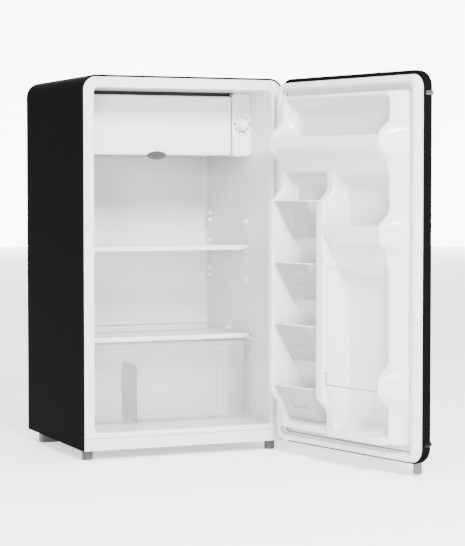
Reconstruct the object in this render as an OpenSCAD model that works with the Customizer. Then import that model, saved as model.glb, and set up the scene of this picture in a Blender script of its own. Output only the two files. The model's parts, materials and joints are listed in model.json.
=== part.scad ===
/* [Cabinet] */
// Width of the cabinet and of the door
body_w = 472; // [430:1:560]
// Depth of the cabinet without its door
body_d = 405; // [370:1:500]
// Height of the cabinet above its feet
body_h = 808; // [780:1:980]
// Height of the feet under the cabinet
foot_h = 22; // [16:1:34]
// Radius of the rounded top corners
corner_r = 33; // [20:1:40]
// Thickness of the painted outer skin
skin_t = 1.2; // [0.8:0.1:2]
// Width of the skin's edge folded round the front
hem_w = 4; // [3:0.5:6]
// Thickness of the white plastic liner
liner_t = 2.5; // [1.5:0.1:3.5]
// Insulated wall at each side
side_wall = 28; // [24:1:40]
// Insulated wall at the top
top_wall = 27; // [22:1:40]
// Insulated wall at the back
back_wall = 22; // [18:1:36]
// Height of the opening above the underside of the cabinet
sill_h = 38; // [34:1:50]
// Height of the strip under the opening
kick_h = 26; // [20:1:30]

/* [Machine compartment] */
// Depth of the compressor space at the bottom back
machine_d = 150; // [130:1:170]
// Height of the compressor space
machine_h = 168; // [150:1:190]
// Insulation between the compressor space and the inside
machine_wall = 30; // [22:1:40]
// Diameter of the compressor
compressor_dia = 112; // [90:1:120]

/* [Ice compartment] */
// Distance from the front of the cabinet to the ice compartment flap
flap_set_back = 115; // [105:1:130]
// Height of the flap
flap_h = 137; // [110:1:160]
// Depth of the moulded flap
flap_t = 14; // [10:1:20]
// Gap above the flap
flap_top_gap = 9; // [6:1:14]
// Width of the thermostat housing
control_w = 46; // [40:1:60]
// Diameter of the thermostat knob
knob_dia = 30; // [24:1:36]

/* [Shelves and drawer] */
// Height of the upper shelf above the cabinet's underside
upper_shelf_h = 430; // [400:1:445]
// Height of the lower shelf above the cabinet's underside
lower_shelf_h = 228; // [215:1:240]
// Thickness of the shelf glass
glass_t = 4; // [3:0.5:5]
// Height of the trim on the front edge of a shelf
shelf_trim_h = 10; // [8:1:14]
// Distance from the front of the cabinet to the drawer
drawer_set_back = 118; // [112:1:130]
// Wall of the drawer
drawer_t = 2.5; // [2:0.1:3.5]
// How far the drawer pulls out
drawer_travel = 150; // [100:5:155]
// How far a shelf pulls out
shelf_travel = 100; // [50:5:110]

/* [Door] */
// Thickness of the door body
door_t = 29; // [26:1:36]
// Gap between the door body and the cabinet that the gasket fills
gasket_gap = 18; // [15:0.5:20]
// Gap between the door's edge and the top and bottom of the cabinet
door_edge_gap = 3; // [2:0.5:6]
// Radius of the door's front edges
door_edge_r = 16; // [8:1:20]
// How far the door stands open
door_open = 103; // [90:1:110]
// Hinge axis, in from the side of the door
hinge_in = 6.5; // [6:0.5:9]
// Diameter of the hinge pins
pin_dia = 5; // [4:0.5:5.5]
// How far the low ribs of the door liner reach in
rib_low = 32; // [26:1:36]
// How far the high ribs, shelf fronts and can trays reach in
rib_high = 62; // [54:1:70]
// Height of a raised band across the door
band_h = 9; // [7:1:12]
// How far a raised band stands out
band_out = 4; // [2:0.5:5]
// Number of can trays
can_trays = 4; // [3:1:4]

/* [Hidden] */
$fn = 64;
eps = 1;                    // overshoot of a cut past the face it opens

fit_gap = 0.5;              // clearance between pieces that slide or swing past each other
pin_gap = 0.05;             // radial clearance of a running pin
front_y = -body_d / 2;
half_w = body_w / 2;
base_z = foot_h;
top_z = foot_h + body_h;
sill_z = base_z + sill_h;
kick_z = base_z + kick_h;
ceiling_z = top_z - top_wall;
inner_w = body_w - 2 * side_wall;
inner_d = body_d - back_wall;
opening_r = 11;

pan_t = 2;
kick_lip = 20;
machine_top_z = base_z + machine_h;
hump_y = body_d - machine_d - machine_wall;
hump_z = machine_top_z + machine_wall;
comp_x = 70;
drain_x = comp_x;           // the drain ends over the evaporation tray on the compressor
drain_y = inner_d - 24;
drain_dia = 12;

// ---------- helpers: y = 0 is the front of the cabinet in all of them ----------

module from_front() translate([0, front_y, 0]) children();

// A flat outline in X and Z, made solid from y0 to y1
module slab(y0, y1) translate([0, y1, 0]) rotate([90, 0, 0]) linear_extrude(y1 - y0) children();

// An outline in Y and Z, made solid from x0 to x1
module wall(x0, x1) translate([x0, 0, 0]) rotate([90, 0, 90]) linear_extrude(x1 - x0) children();

module block(low, high) translate(low) cube(high - low);

// A rectangle between two corners with four round corners
module rounded(x0, x1, z0, z1, r) {
    translate([x0 + r, z0]) square([x1 - x0 - 2 * r, z1 - z0]);
    translate([x0, z0 + r]) square([x1 - x0, z1 - z0 - 2 * r]);
    for (x = [x0 + r, x1 - r], z = [z0 + r, z1 - r])
        translate([x, z]) circle(r);
}

// The cabinet's front outline: round top corners and a square foot
module body_outline(inset) {
    r = corner_r - inset;
    h = top_z - inset;
    translate([-half_w + inset, base_z]) square([body_w - 2 * inset, h - r - base_z]);
    translate([-half_w + inset + r, base_z]) square([body_w - 2 * inset - 2 * r, h - base_z]);
    for (side = [-1, 1])
        translate([side * (half_w - inset - r), h - r]) circle(r);
}

module opening(grow) rounded(-inner_w / 2 - grow, inner_w / 2 + grow, sill_z - grow,
                             ceiling_z + grow, opening_r + grow);

// The space inside the cabinet, larger by grow, with the step over the compressor
module cavity(grow) {
    difference() {
        slab(-eps, inner_d + grow) opening(grow);
        block([-half_w, hump_y + grow, 0], [half_w, body_d, hump_z - grow]);
    }
}

// ---------- hinge ----------

hinge_x = half_w - hinge_in;
barrel_r = pin_dia / 2 + 2;
hinge_out = gasket_gap + barrel_r + fit_gap;
barrel_h = 20;
bush_h = 11;
bush_gap = 1;
hinge_top_z = top_z - 70;
hinge_bottom_z = base_z + 66;
hinge_levels = [hinge_bottom_z, hinge_top_z];
ear_t = 2.5;
ear_x1 = hinge_x + barrel_r;
ear_x0 = ear_x1 - ear_t;
ear_root = 24;
bush_r = barrel_r;
notch_x0 = hinge_x - barrel_r - 1.5;
notch_y0 = -hinge_out - 9.5;
notch_z = barrel_h / 2 + bush_gap;

// The part of a hinge that is fixed to the cabinet: an ear with a barrel on its end
module edge_hinge(z) {
    difference() {
        union() {
            block([ear_x0, -hinge_out, z - barrel_h / 2], [ear_x1, ear_root, z + barrel_h / 2]);
            translate([hinge_x, -hinge_out, z - barrel_h / 2]) cylinder(h = barrel_h, r = barrel_r);
        }
        translate([hinge_x, -hinge_out, z - barrel_h]) cylinder(h = 2 * barrel_h, d = pin_dia);
    }
}

module ear_slots() {
    for (z = hinge_levels)
        block([ear_x0, -eps, z - barrel_h / 2], [ear_x1, ear_root, z + barrel_h / 2]);
}

// Moves what is drawn for the closed door to where the door stands open
module open_door()
    from_front()
        translate([hinge_x, -hinge_out, 0]) rotate([0, 0, door_open])
            translate([-hinge_x, hinge_out, 0]) children();

// ---------- cabinet ----------

module outer_shell() {
    color("#1f1f20") from_front() difference() {
        slab(0, body_d) body_outline(0);
        slab(-eps, body_d + eps) difference() {
            body_outline(skin_t);
        }
        block([-half_w + skin_t, -eps, base_z - eps], [half_w - skin_t, body_d + eps, base_z + eps]);
    }
    color("#1f1f20") from_front() difference() {
        slab(0, liner_t) body_outline(0);
        slab(-eps, liner_t + eps) body_outline(hem_w);
        block([-half_w + hem_w, -eps, base_z - eps], [half_w - hem_w, liner_t + eps, base_z + hem_w + eps]);
        ear_slots();
    }
}

module back_panel() {
    color("#2b2b2c") from_front() difference() {
        slab(body_d - skin_t, body_d) intersection() {
            body_outline(skin_t);
            translate([-half_w, machine_top_z]) square([body_w, body_h]);
        }
        for (p = back_screw_places)
            translate([p[0], body_d + eps, p[1]]) rotate([90, 0, 0]) cylinder(h = 4, d = screw_d);
    }
}

flange_y = liner_t;
boss_r = 6;
boss_len = 9;
boss_rear_y = inner_d - 26;
boss_front_y = 140;
rest_gap = 0.3;             // gap between a round peg and the shelf it carries
shelf_pitch = 66;
upper_z = base_z + upper_shelf_h;
lower_z = base_z + lower_shelf_h;
shelf_levels = [upper_z + shelf_pitch, upper_z, upper_z - shelf_pitch];
ledge_h = 6;
ledge_len = 80;
ledge_y = 72;
gutter_h = 8;

// Round pegs on both side walls that carry the shelves
module shelf_pegs() {
    for (side = [-1, 1], z = shelf_levels) {
        peg(side, boss_front_y, z - glass_t / 2 - boss_r - rest_gap);
        peg(side, boss_rear_y, z - glass_t / 2 - boss_r - rest_gap);
        peg(side, boss_rear_y, z + glass_t / 2 + boss_r + fit_gap);
    }
}

module peg(side, y, z)
    translate([side * (inner_w / 2 + liner_t / 2), y, z]) rotate([0, -side * 90, 0])
        cylinder(h = boss_len + liner_t / 2, r = boss_r);

// Ledges on both side walls that carry the lower shelf, and a peg above it
module shelf_ledges() {
    z1 = lower_z - glass_t / 2;
    for (side = [-1, 1], y = [ledge_y, inner_d - ledge_len]) {
        x = side * (inner_w / 2 + (liner_t - boss_len) / 2);
        w = boss_len + liner_t;
        block([x - w / 2, y, z1 - ledge_h], [x + w / 2, y + ledge_len, z1]);
    }
    for (side = [-1, 1])
        peg(side, hump_y + 17, lower_z + glass_t / 2 + boss_r + fit_gap);
}

module cabinet_liner() {
    color("#f1f1f0") from_front() {
        difference() {
            union() {
                slab(0, flange_y) intersection() {
                    body_outline(hem_w);
                    translate([-half_w, kick_z]) square([body_w, body_h]);
                }
                cavity(liner_t);
            }
            cavity(0);
            block([-half_w, -2 * eps, 0], [half_w, 0, top_z]);
            ear_slots();
            drain_hole();
        }
        shelf_pegs();
        shelf_ledges();
        block([-inner_w / 2, inner_d - 5, lower_z + 12],
              [inner_w / 2, inner_d, lower_z + 12 + gutter_h]);
    }
}

module drain_hole()
    translate([drain_x, drain_y, hump_z - 2 * liner_t]) cylinder(h = 4 * liner_t, d = drain_dia);

module cabinet_foam() {
    color("#e8dcae") from_front() difference() {
        slab(flange_y, body_d - skin_t) body_outline(skin_t);
        cavity(liner_t);
        block([-half_w, 0, base_z - eps], [half_w, body_d, base_z + pan_t + 2]);
        block([-half_w, body_d - machine_d - plate_t, 0], [half_w, body_d + eps, machine_top_z + plate_t]);
        block([-half_w, 0, 0], [half_w, flange_y + 2, kick_z]);
        ear_slots();
        translate([drain_x, drain_y, 0]) cylinder(h = hump_z, d = drain_dia);
        for (side = [-1, 1])
            translate([side * foot_x, foot_front_y, 0]) cylinder(h = foot_h + stud_len + 2, r = stud_r + 1);
        for (p = back_screw_places)
            translate([p[0], body_d + eps, p[1]]) rotate([90, 0, 0]) cylinder(h = 18, d = screw_d);
    }
}

module kick_plate() {
    color("#e9e9e8") from_front() {
        block([-half_w + hem_w, 0, base_z], [half_w - hem_w, liner_t, kick_z]);
        block([-half_w + hem_w, liner_t, base_z], [half_w - hem_w, kick_lip, base_z + pan_t]);
    }
}

foot_dia = 22;
foot_x = half_w - 20;
foot_front_y = 30;
foot_rear_y = body_d - 75;
stud_r = 4;
stud_len = 8;

module base_pan() {
    color("#3a3b3d") from_front() difference() {
        block([-half_w + skin_t, kick_lip, base_z], [half_w - skin_t, body_d - skin_t, base_z + pan_t]);
        for (side = [-1, 1])
            translate([side * foot_x, foot_front_y, base_z - eps]) cylinder(h = 9, r = stud_r + pin_gap);
    }
}

plate_t = 1.2;

module machine_wall_plate() {
    color("#8f9092") from_front() difference() {
        union() {
            block([-half_w + skin_t, body_d - machine_d - plate_t, base_z + pan_t],
                  [half_w - skin_t, body_d - machine_d, machine_top_z + plate_t]);
            block([-half_w + skin_t, body_d - machine_d, machine_top_z],
                  [half_w - skin_t, body_d - skin_t, machine_top_z + plate_t]);
        }
        translate([drain_x, drain_y, 0]) cylinder(h = hump_z, d = drain_dia);
    }
}

// ---------- cooling machine ----------

comp_y = body_d - machine_d / 2 - 4;
comp_bottom = base_z + pan_t + 12;
comp_h = 122;
bracket_t = 2.5;
grommet_hole = 9;
grommet_span = 48;
grommet_places = [for (sx = [-1, 1], sy = [-1, 1])
    [comp_x + sx * (compressor_dia / 2 + 4), comp_y + sy * grommet_span / 2]];

module compressor() {
    r = compressor_dia / 2;
    dome = 26;
    color("#17181a") from_front() translate([comp_x, comp_y, comp_bottom]) {
        rotate_extrude() union() {
            square([r, comp_h - dome]);
            square([r - dome, comp_h]);
            intersection() {
                translate([r - dome, comp_h - dome]) circle(dome);
                square([r, comp_h]);
            }
        }
        translate([0, 0, comp_h * 0.45]) cylinder(h = 5, r = r + 2.5);
    }
}

module compressor_bracket() {
    color("#222325") from_front() difference() {
        block([comp_x - compressor_dia / 2 - 16, comp_y - grommet_span / 2 - 12, comp_bottom - bracket_t],
              [comp_x + compressor_dia / 2 + 16, comp_y + grommet_span / 2 + 12, comp_bottom]);
        for (p = grommet_places)
            translate([p[0], p[1], comp_bottom - 10]) cylinder(h = 20, d = grommet_hole);
    }
}

module compressor_grommets() {
    color("#2c2c2c") from_front() for (p = grommet_places) translate([p[0], p[1], 0]) {
        translate([0, 0, base_z + pan_t]) cylinder(h = comp_bottom - bracket_t - base_z - pan_t, d = 18);
        translate([0, 0, base_z + pan_t]) cylinder(h = comp_bottom + 3 - base_z - pan_t, d = grommet_hole);
        translate([0, 0, comp_bottom]) cylinder(h = 3, d = 15);
    }
}

relay_x = comp_x - compressor_dia / 2 - 2.5;

module relay_cover() {
    color("#101112") from_front() difference() {
        block([relay_x - 24, comp_y - 22, comp_bottom + 26], [relay_x + 8, comp_y + 22, comp_bottom + 78]);
        translate([comp_x, comp_y, 0]) cylinder(h = 400, r = compressor_dia / 2 + 2.6);
    }
}

tray_z = comp_bottom + comp_h;

module evaporation_tray() {
    low = [comp_x - 62, comp_y - 52, tray_z];
    high = [comp_x + 62, comp_y + 52, tray_z + 16];
    color("#3b3c3e") from_front() difference() {
        block(low, high);
        block(low + [2, 2, 2], high + [-2, -2, eps]);
    }
}

pipe_r = 3;

// A straight length of pipe from a to b with a round end at b
module pipe_run(a, b) {
    d = b - a;
    h = norm(d);
    translate(a) rotate([0, acos(d[2] / h), atan2(d[1], d[0])]) cylinder(h = h, r = pipe_r, $fn = 24);
    translate(b) sphere(r = pipe_r, $fn = 24);
}

module pipe_line(points)
    for (i = [0 : len(points) - 2])
        pipe_run(points[i], points[i + 1]);

drier_z = base_z + 100;
drier_top = drier_z + 46;
drier_x = -150;
drier_y = comp_y;

module refrigerant_pipes() {
    suction_x = comp_x + compressor_dia / 2 + 0.1;
    feed_x = comp_x - sqrt(pow(compressor_dia / 2, 2) - pow(34 - pipe_r, 2)) - 0.3;
    color("#b8714a") from_front() {
        pipe_line([[suction_x, comp_y, comp_bottom + 40], [suction_x + 34, comp_y, comp_bottom + 40],
                   [suction_x + 34, comp_y, machine_top_z - pipe_r - 4],
                   [suction_x + 34, body_d - machine_d + pipe_r, machine_top_z - pipe_r - 4]]);
        pipe_line([[relay_x - 8, comp_y + 34, comp_bottom + 14],
                    [relay_x - 40, comp_y + 34, comp_bottom + 14],
                   [drier_x, comp_y + 34, comp_bottom + 14], [drier_x, drier_y, comp_bottom + 14],
                   [drier_x, drier_y, drier_z - pipe_r]]);
        pipe_run([feed_x, comp_y + 34, comp_bottom + 14], [relay_x - 8, comp_y + 34, comp_bottom + 14]);
        pipe_line([[drier_x, drier_y, drier_top + 14],
                    [drier_x, body_d - machine_d + pipe_r, drier_top + 14]]);
        translate([drier_x, drier_y, drier_top]) cylinder(h = 14, r = pipe_r, $fn = 24);
    }
}

module filter_drier() {
    color("#c07a50") from_front() translate([drier_x, drier_y, drier_z])
        cylinder(h = drier_top - drier_z, d = 18);
}

module drain_tube() {
    color("#d8d8d4") from_front() translate([drain_x, drain_y, 0]) difference() {
        translate([0, 0, tray_z + 6]) cylinder(h = hump_z - liner_t - tray_z - 6, d = drain_dia);
        translate([0, 0, base_z]) cylinder(h = hump_z, d = drain_dia - 3);
    }
}

inlet_z = base_z + 60;
inlet_x = -190;

// A round gland in the compartment's front plate where the supply cord would pass
module mains_inlet() {
    color("#141414") from_front() translate([inlet_x, body_d - machine_d, inlet_z]) rotate([-90, 0, 0])
        difference() {
            union() {
                cylinder(h = 4, d = 26);
                translate([0, 0, 4]) cylinder(h = 14, d = 18);
            }
            translate([0, 0, 6]) cylinder(h = 20, d = 8);
        }
}

// ---------- ice compartment and thermostat ----------

flap_top_z = ceiling_z - flap_top_gap;
flap_z0 = flap_top_z - flap_h;
flap_x0 = -inner_w / 2 + 8;
control_x0 = inner_w / 2 - control_w;
control_x1 = inner_w / 2;
flap_x1 = control_x0 - 1.5;
flap_y0 = flap_set_back;
flap_y1 = flap_set_back + flap_t;
flap_axis_y = flap_y0 + flap_t / 2;
flap_axis_z = flap_top_z - flap_t / 2;
flap_pin_r = 2.5;
evap_t = 2;
evap_y0 = flap_y1 + 6;
seal_t = 2.5;
evap_x0 = -inner_w / 2 + opening_r + 2;
evap_x1 = control_x0 - 6;
evap_z0 = flap_z0 + 6;

module evaporator() {
    low = [evap_x0, evap_y0, evap_z0];
    high = [evap_x1, inner_d - 14, ceiling_z];
    color("#c9ccce") from_front() {
        difference() {
            block(low, high);
            block(low + [evap_t, -eps, evap_t], high - [evap_t, evap_t, evap_t]);
        }
        for (i = [0 : 7])
            block([evap_x0 + 24 + 38 * i, evap_y0 + 14, evap_z0 - 2],
                  [evap_x0 + 30 + 38 * i, inner_d - 30, evap_z0]);
    }
}

// Dark foam strip between the ice box's front, the ceiling and the thermostat housing
module evaporator_seal() {
    z1 = ceiling_z - fit_gap;
    color("#161616") from_front() {
        block([evap_x0, evap_y0 - seal_t, flap_top_z - 8], [control_x0 - fit_gap, evap_y0, z1]);
        block([evap_x1 - 3, evap_y0 - seal_t, flap_z0 + 12], [control_x0 - fit_gap, evap_y0, flap_top_z - 8]);
    }
}

knob_x = (control_x0 + control_x1) / 2;
knob_z = flap_z0 + flap_h / 2 + 5;
shaft_r = 3;
spindle_in = 10;
control_depth = 46;
control_t = 2.5;

module control_housing() {
    z0 = flap_z0 + 2;
    z1 = ceiling_z - 7;
    color("#f0f0ef") from_front() difference() {
        slab(flap_y0, flap_y0 + control_depth) rounded(control_x0, control_x1, z0, z1, 5);
        slab(flap_y0 + control_t, flap_y0 + control_depth + eps)
            rounded(control_x0 + control_t, control_x1 - control_t, z0 + control_t, z1 - control_t, 3);
        translate([knob_x, flap_y0 - eps, knob_z]) rotate([-90, 0, 0]) cylinder(h = 10, r = shaft_r + 1);
        translate([control_x0 - eps, flap_axis_y, flap_axis_z]) rotate([0, 90, 0])
            cylinder(h = control_t + 2 * eps, r = flap_pin_r + pin_gap);
    }
}

module thermostat() {
    y0 = flap_y0 + control_t;
    color("#9aa0a3") from_front() difference() {
        block([knob_x - 15, y0, knob_z - 20], [knob_x + 15, y0 + 26, knob_z + 20]);
        translate([knob_x, y0 - eps, knob_z]) rotate([-90, 0, 0])
            cylinder(h = spindle_in + 1 + eps, r = shaft_r + pin_gap);
    }
}

// Turns with the knob, through the housing and into the thermostat
module knob_spindle() {
    color("#b4b6b8") from_front() translate([knob_x, flap_y0 - 10, knob_z]) rotate([-90, 0, 0])
        cylinder(h = 10 + control_t + spindle_in, r = shaft_r);
}

knob_t = 12;

module thermostat_knob() {
    r = knob_dia / 2;
    color("#f4f4f3") from_front() translate([knob_x, flap_y0 - fit_gap, knob_z]) rotate([90, 0, 0])
        difference() {
            union() {
                cylinder(h = 4, r = r);
                cylinder(h = knob_t, r = r - 3);
                for (a = [0 : 30 : 330])
                    rotate([0, 0, a]) translate([r - 3, 0, 0]) cylinder(h = knob_t - 1, r = 1);
            }
            translate([0, 0, -eps]) cylinder(h = 10 - fit_gap + eps, r = shaft_r);
        }
}

module flap_bearing() {
    color("#ececeb") from_front() difference() {
        block([-inner_w / 2, flap_axis_y - 7, flap_axis_z - 7],
              [flap_x0 - fit_gap, flap_axis_y + 7, flap_axis_z + 4]);
        translate([-inner_w / 2 + 1, flap_axis_y, flap_axis_z]) rotate([0, 90, 0])
            cylinder(h = 20, r = flap_pin_r + pin_gap);
    }
}

grip_x = -21;
grip_w = 46;
grip_h = 19;
grip_t = 7;
grip_z = flap_z0 + 3;

// An outline like a lens lying on its side
module lens(w, h) {
    r = (w * w / 4 + h * h / 4) / h;
    intersection() {
        translate([0, r - h / 2]) circle(r);
        translate([0, h / 2 - r]) circle(r);
    }
}

module ice_flap() {
    color("#f3f3f2") from_front() {
        difference() {
            slab(flap_y0, flap_y1) rounded(flap_x0, flap_x1, flap_z0, flap_top_z, 3);
            slab(flap_y0 + 3, flap_y1 + eps)
                rounded(flap_x0 + 3, flap_x1 - 3, flap_z0 + 3, flap_top_z - 3, 2);
            slab(flap_y0 - eps, flap_y0 + grip_t) translate([grip_x, grip_z]) lens(grip_w, grip_h);
        }
        block([flap_x0 + 1, flap_axis_y - 3.5, flap_axis_z - 3.5], [flap_x0 + 12, flap_y1, flap_top_z - 1]);
        block([flap_x1 - 12, flap_axis_y - 3.5, flap_axis_z - 3.5], [flap_x1 - 1, flap_y1, flap_top_z - 1]);
        translate([-inner_w / 2 + 2, flap_axis_y, flap_axis_z]) rotate([0, 90, 0])
            cylinder(h = 16, r = flap_pin_r);
        translate([flap_x1 - 6, flap_axis_y, flap_axis_z]) rotate([0, 90, 0])
            cylinder(h = 6 + control_x0 - flap_x1 + control_t, r = flap_pin_r);
    }
}

module ice_flap_grip() {
    color("#8b8c8e") from_front() difference() {
        slab(flap_y0 + 0.5, flap_y0 + grip_t) translate([grip_x, grip_z]) lens(grip_w, grip_h);
        slab(flap_y0, flap_y0 + grip_t - 2) translate([grip_x, grip_z]) lens(grip_w - 6, grip_h - 3);
    }
}

// ---------- shelves and drawer ----------

shelf_side_gap = 3;
shelf_x = inner_w / 2 - shelf_side_gap;
shelf_y0 = flap_set_back + 3;
shelf_back = inner_d - 6;
trim_depth = 9;
under_trim_x = inner_w / 2 - boss_len - 2;    // under the glass the trim stops short of pegs and ledges

// Glass plate with its top face at z + glass_t / 2 and notches for the rear pegs' upper halves
module shelf_glass(z) {
    color("#dfeae8", 0.45) from_front()
        block([-shelf_x, shelf_y0 + 3, z - glass_t / 2], [shelf_x, shelf_back, z + glass_t / 2]);
}

// Moulded strip that grips the glass along its front edge
module shelf_trim(z) {
    color("#f4f4f4") from_front() difference() {
        block([-shelf_x, shelf_y0, z - shelf_trim_h / 2 - 1],
              [shelf_x, shelf_y0 + trim_depth, z + shelf_trim_h / 2 - 1]);
        block([-half_w, shelf_y0 + 3, z - glass_t / 2],
              [half_w, shelf_y0 + trim_depth + eps, z + glass_t / 2]);
        for (side = [-1, 1])
            translate([side * half_w, shelf_y0 + trim_depth / 2, z - glass_t / 2 - shelf_trim_h])
                cube([2 * (half_w - under_trim_x), 2 * trim_depth, 2 * shelf_trim_h], center = true);
    }
}

module upper_shelf() shelf_glass(upper_z);
module upper_shelf_trim() shelf_trim(upper_z);
module lower_shelf() shelf_glass(lower_z);
module lower_shelf_trim() shelf_trim(lower_z);

drawer_x0 = -inner_w / 2 + 5;
drawer_x1 = inner_w / 2 - 12;
drawer_y0 = drawer_set_back;
drawer_y1 = hump_y - 4;
drawer_z0 = sill_z + fit_gap;
drawer_z1 = lower_z - glass_t / 2 - ledge_h - 3;
drawer_r = 10;

module crisper_drawer() {
    color("#e9f0f0", 0.4) from_front() {
        difference() {
            slab(drawer_y0, drawer_y1) rounded(drawer_x0, drawer_x1, drawer_z0, drawer_z1, drawer_r);
            slab(drawer_y0 + drawer_t, drawer_y1 - drawer_t)
                rounded(drawer_x0 + drawer_t, drawer_x1 - drawer_t, drawer_z0 + drawer_t,
                        drawer_z1 + 2 * drawer_r, drawer_r - drawer_t);
            block([drawer_x0 - eps, drawer_y0 + drawer_t, drawer_z1 - drawer_r],
                  [drawer_x1 + eps, drawer_y1 + eps, drawer_z1 + eps]);
        }
        block([drawer_x0 + 4, drawer_y0 - 3, drawer_z1 - 9], [drawer_x1 - 4, drawer_y0, drawer_z1 - 4]);
    }
}

module crisper_divider() {
    t = 2;
    y0 = drawer_y0 + drawer_t + fit_gap;
    y1 = drawer_y1 - drawer_t - fit_gap;
    z0 = drawer_z0 + drawer_t;
    color("#e2eaea", 0.5) from_front() {
        block([-70, y0, z0], [-70 + t, y1, drawer_z1 - 48]);
        block([-70 + t, y0, z0], [-52, y0 + t, drawer_z1 - 60]);
        block([-70 + t, y1 - t, z0], [-52, y1, drawer_z1 - 60]);
    }
}

// ---------- feet ----------

module front_foot(side) {
    color("#77787a") from_front() translate([side * foot_x, foot_front_y, 0]) {
        cylinder(h = foot_h - 5, d = foot_dia);
        translate([0, 0, foot_h - 5]) cylinder(h = 4.5, d = foot_dia + 4);
        cylinder(h = foot_h + stud_len, r = stud_r);
        for (a = [0 : 30 : 330])
            rotate([0, 0, a]) translate([foot_dia / 2, 0, 2]) cylinder(h = foot_h - 9, r = 0.8, $fn = 16);
    }
}

module front_foot_left() front_foot(-1);
module front_foot_right() front_foot(1);

module rear_feet() {
    color("#6b6c6e") from_front() for (side = [-1, 1])
        translate([side * (foot_x - 6), foot_rear_y, 0])
            linear_extrude(foot_h) rounded(-20, 20, -14, 14, 5);
}

// ---------- hinges and screws ----------

module top_hinge() color("#9b9d9f") from_front() edge_hinge(hinge_top_z);
module bottom_hinge() color("#9b9d9f") from_front() edge_hinge(hinge_bottom_z);

module hinge_pins() {
    h = barrel_h + 2 * (bush_gap + bush_h);
    color("#b9bbbd") from_front() for (z = hinge_levels)
        translate([hinge_x, -hinge_out, z - h / 2]) cylinder(h = h, d = pin_dia);
}

screw_d = 4;
back_mid_z = (machine_top_z + top_z) / 2;
back_screw_places = [
    for (x = [-half_w + 12, 0, half_w - 12], z = [machine_top_z + 14, back_mid_z, top_z - 40])
    if (x != 0 || z != back_mid_z) [x, z]];

module back_screws() {
    color("#a9abad") from_front() for (p = back_screw_places)
        translate([p[0], body_d, p[1]]) rotate([90, 0, 0]) {
        cylinder(h = 14, d = screw_d);
        translate([0, 0, -2]) cylinder(h = 2, d = 8);
    }
}

// ---------- door, drawn closed ----------

door_y1 = -gasket_gap;
door_y0 = -gasket_gap - door_t;
door_z0 = base_z + door_edge_gap;
door_z1 = top_z - door_edge_gap;
door_skin = 1.5;
rim_inset = 3;
rim_t = 2.5;

// A disc with a rounded front edge, one corner of the door
module door_corner(r, edge) {
    rotate([90, 0, 0]) rotate_extrude($fn = 48) union() {
        square([r - edge, door_t]);
        square([r, door_t - edge]);
        translate([r - edge, door_t - edge]) intersection() {
            circle(edge, $fn = 48);
            square(edge);
        }
    }
}

// The door's body: flat back at the rim, round corners and a rounded front, larger by grow all round
module door_form(grow) {
    r = corner_r + grow;
    hull() for (x = [-half_w + corner_r, half_w - corner_r], z = [door_z0 + corner_r, door_z1 - corner_r])
        translate([x, door_y1 - grow, z]) door_corner(r, door_edge_r + grow);
}

module hinge_notches() {
    for (z = hinge_levels)
        block([notch_x0, notch_y0, z - notch_z], [half_w + band_out + eps, door_y1 + 2, z + notch_z]);
}

module bush_holes()
    for (z = hinge_levels)
        translate([hinge_x, -hinge_out, z - notch_z - bush_h])
            cylinder(h = 2 * (notch_z + bush_h), r = bush_r);

handle_x = -half_w + 52;
handle_z0 = base_z + body_h * 0.62;
handle_len = 180;
handle_out = 27;
handle_bar_r = 7;
handle_screw_z = [handle_z0 + 16, handle_z0 + handle_len - 16];

module door_shell() {
    color("#1e1e1f") open_door() difference() {
        door_form(0);
        difference() {
            door_form(-door_skin);
            block([-half_w, door_y1 - 0.01, 0], [half_w, door_y1 + 10, top_z]);
        }
        block([-half_w - eps, door_y1, 0], [half_w + eps, door_y1 + 10, top_z]);
        slab(door_y1 - door_skin - 2 * eps, door_y1 + eps)
            rounded(-half_w + door_skin, half_w - door_skin, door_z0 + door_skin, door_z1 - door_skin,
                    corner_r - door_skin);
        hinge_notches();
        for (z = handle_screw_z)
            translate([handle_x, door_y0 - eps, z]) rotate([-90, 0, 0]) cylinder(h = 6, d = screw_d);
    }
}

// Places on the door liner, in X and in height above the cabinet's underside
hinge_rib_x = [half_w - 51, half_w - 36];
divider_x = [15, 35];
free_rib_x = [-half_w + 42, -half_w + 72];
liner_top = base_z + body_h - 38;
liner_ceiling = liner_top - 12;
liner_bottom = sill_z + 6;
liner_floor = liner_bottom + 10;
shelf1_z = [base_z + 608, base_z + 655, base_z + 678];
shelf2_z = [base_z + 406, base_z + 469, base_z + 489];
rail_z = base_z + 150;
ease = 18;                  // height over which a rib changes from low to high

// Outline of a rib in Y and Z that is high between the pairs of heights in peaks
module rib_outline(z0, z1, peaks, cut) {
    translate([-rim_t - 0.5, z0 + cut]) square([rib_low - cut + rim_t + 0.5, z1 - z0 - 2 * cut]);
    for (p = peaks)
        polygon([[rib_low - cut - 1, max(z0 + cut, p[0] - ease + cut)], [rib_high - cut, p[0] + cut],
                 [rib_high - cut, p[1] - cut], [rib_low - cut - 1, min(z1 - cut, p[1] + ease - cut)]]);
}

band1_peak = [shelf1_z[1] - 4, shelf1_z[2]];
band2_peak = [shelf2_z[1] - 4, shelf2_z[2]];
can_peak = [base_z + 112, base_z + 540];
rail_peak = [rail_z - 6, rail_z + 30];

module upright_ribs(cut) {
    wall(hinge_rib_x[0] + cut, hinge_rib_x[1] - cut)
        rib_outline(liner_bottom, liner_top, [band1_peak, can_peak], cut);
    wall(divider_x[0] + cut, divider_x[1] - cut)
        rib_outline(liner_bottom, shelf1_z[0], [can_peak], cut);
    wall(free_rib_x[0] + cut, free_rib_x[1] - cut)
        rib_outline(liner_bottom, liner_top, [band1_peak, band2_peak, rail_peak], cut);
}

module cross_ribs(cut) {
    x0 = free_rib_x[0] + cut;
    x1 = hinge_rib_x[1] - cut;
    y0 = -rim_t - 0.5;
    block([x0, y0, liner_ceiling + cut], [x1, rib_low - cut, liner_top - cut]);
    block([x0, y0, liner_bottom + cut], [x1, rib_low - cut, liner_floor - cut]);
}

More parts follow.
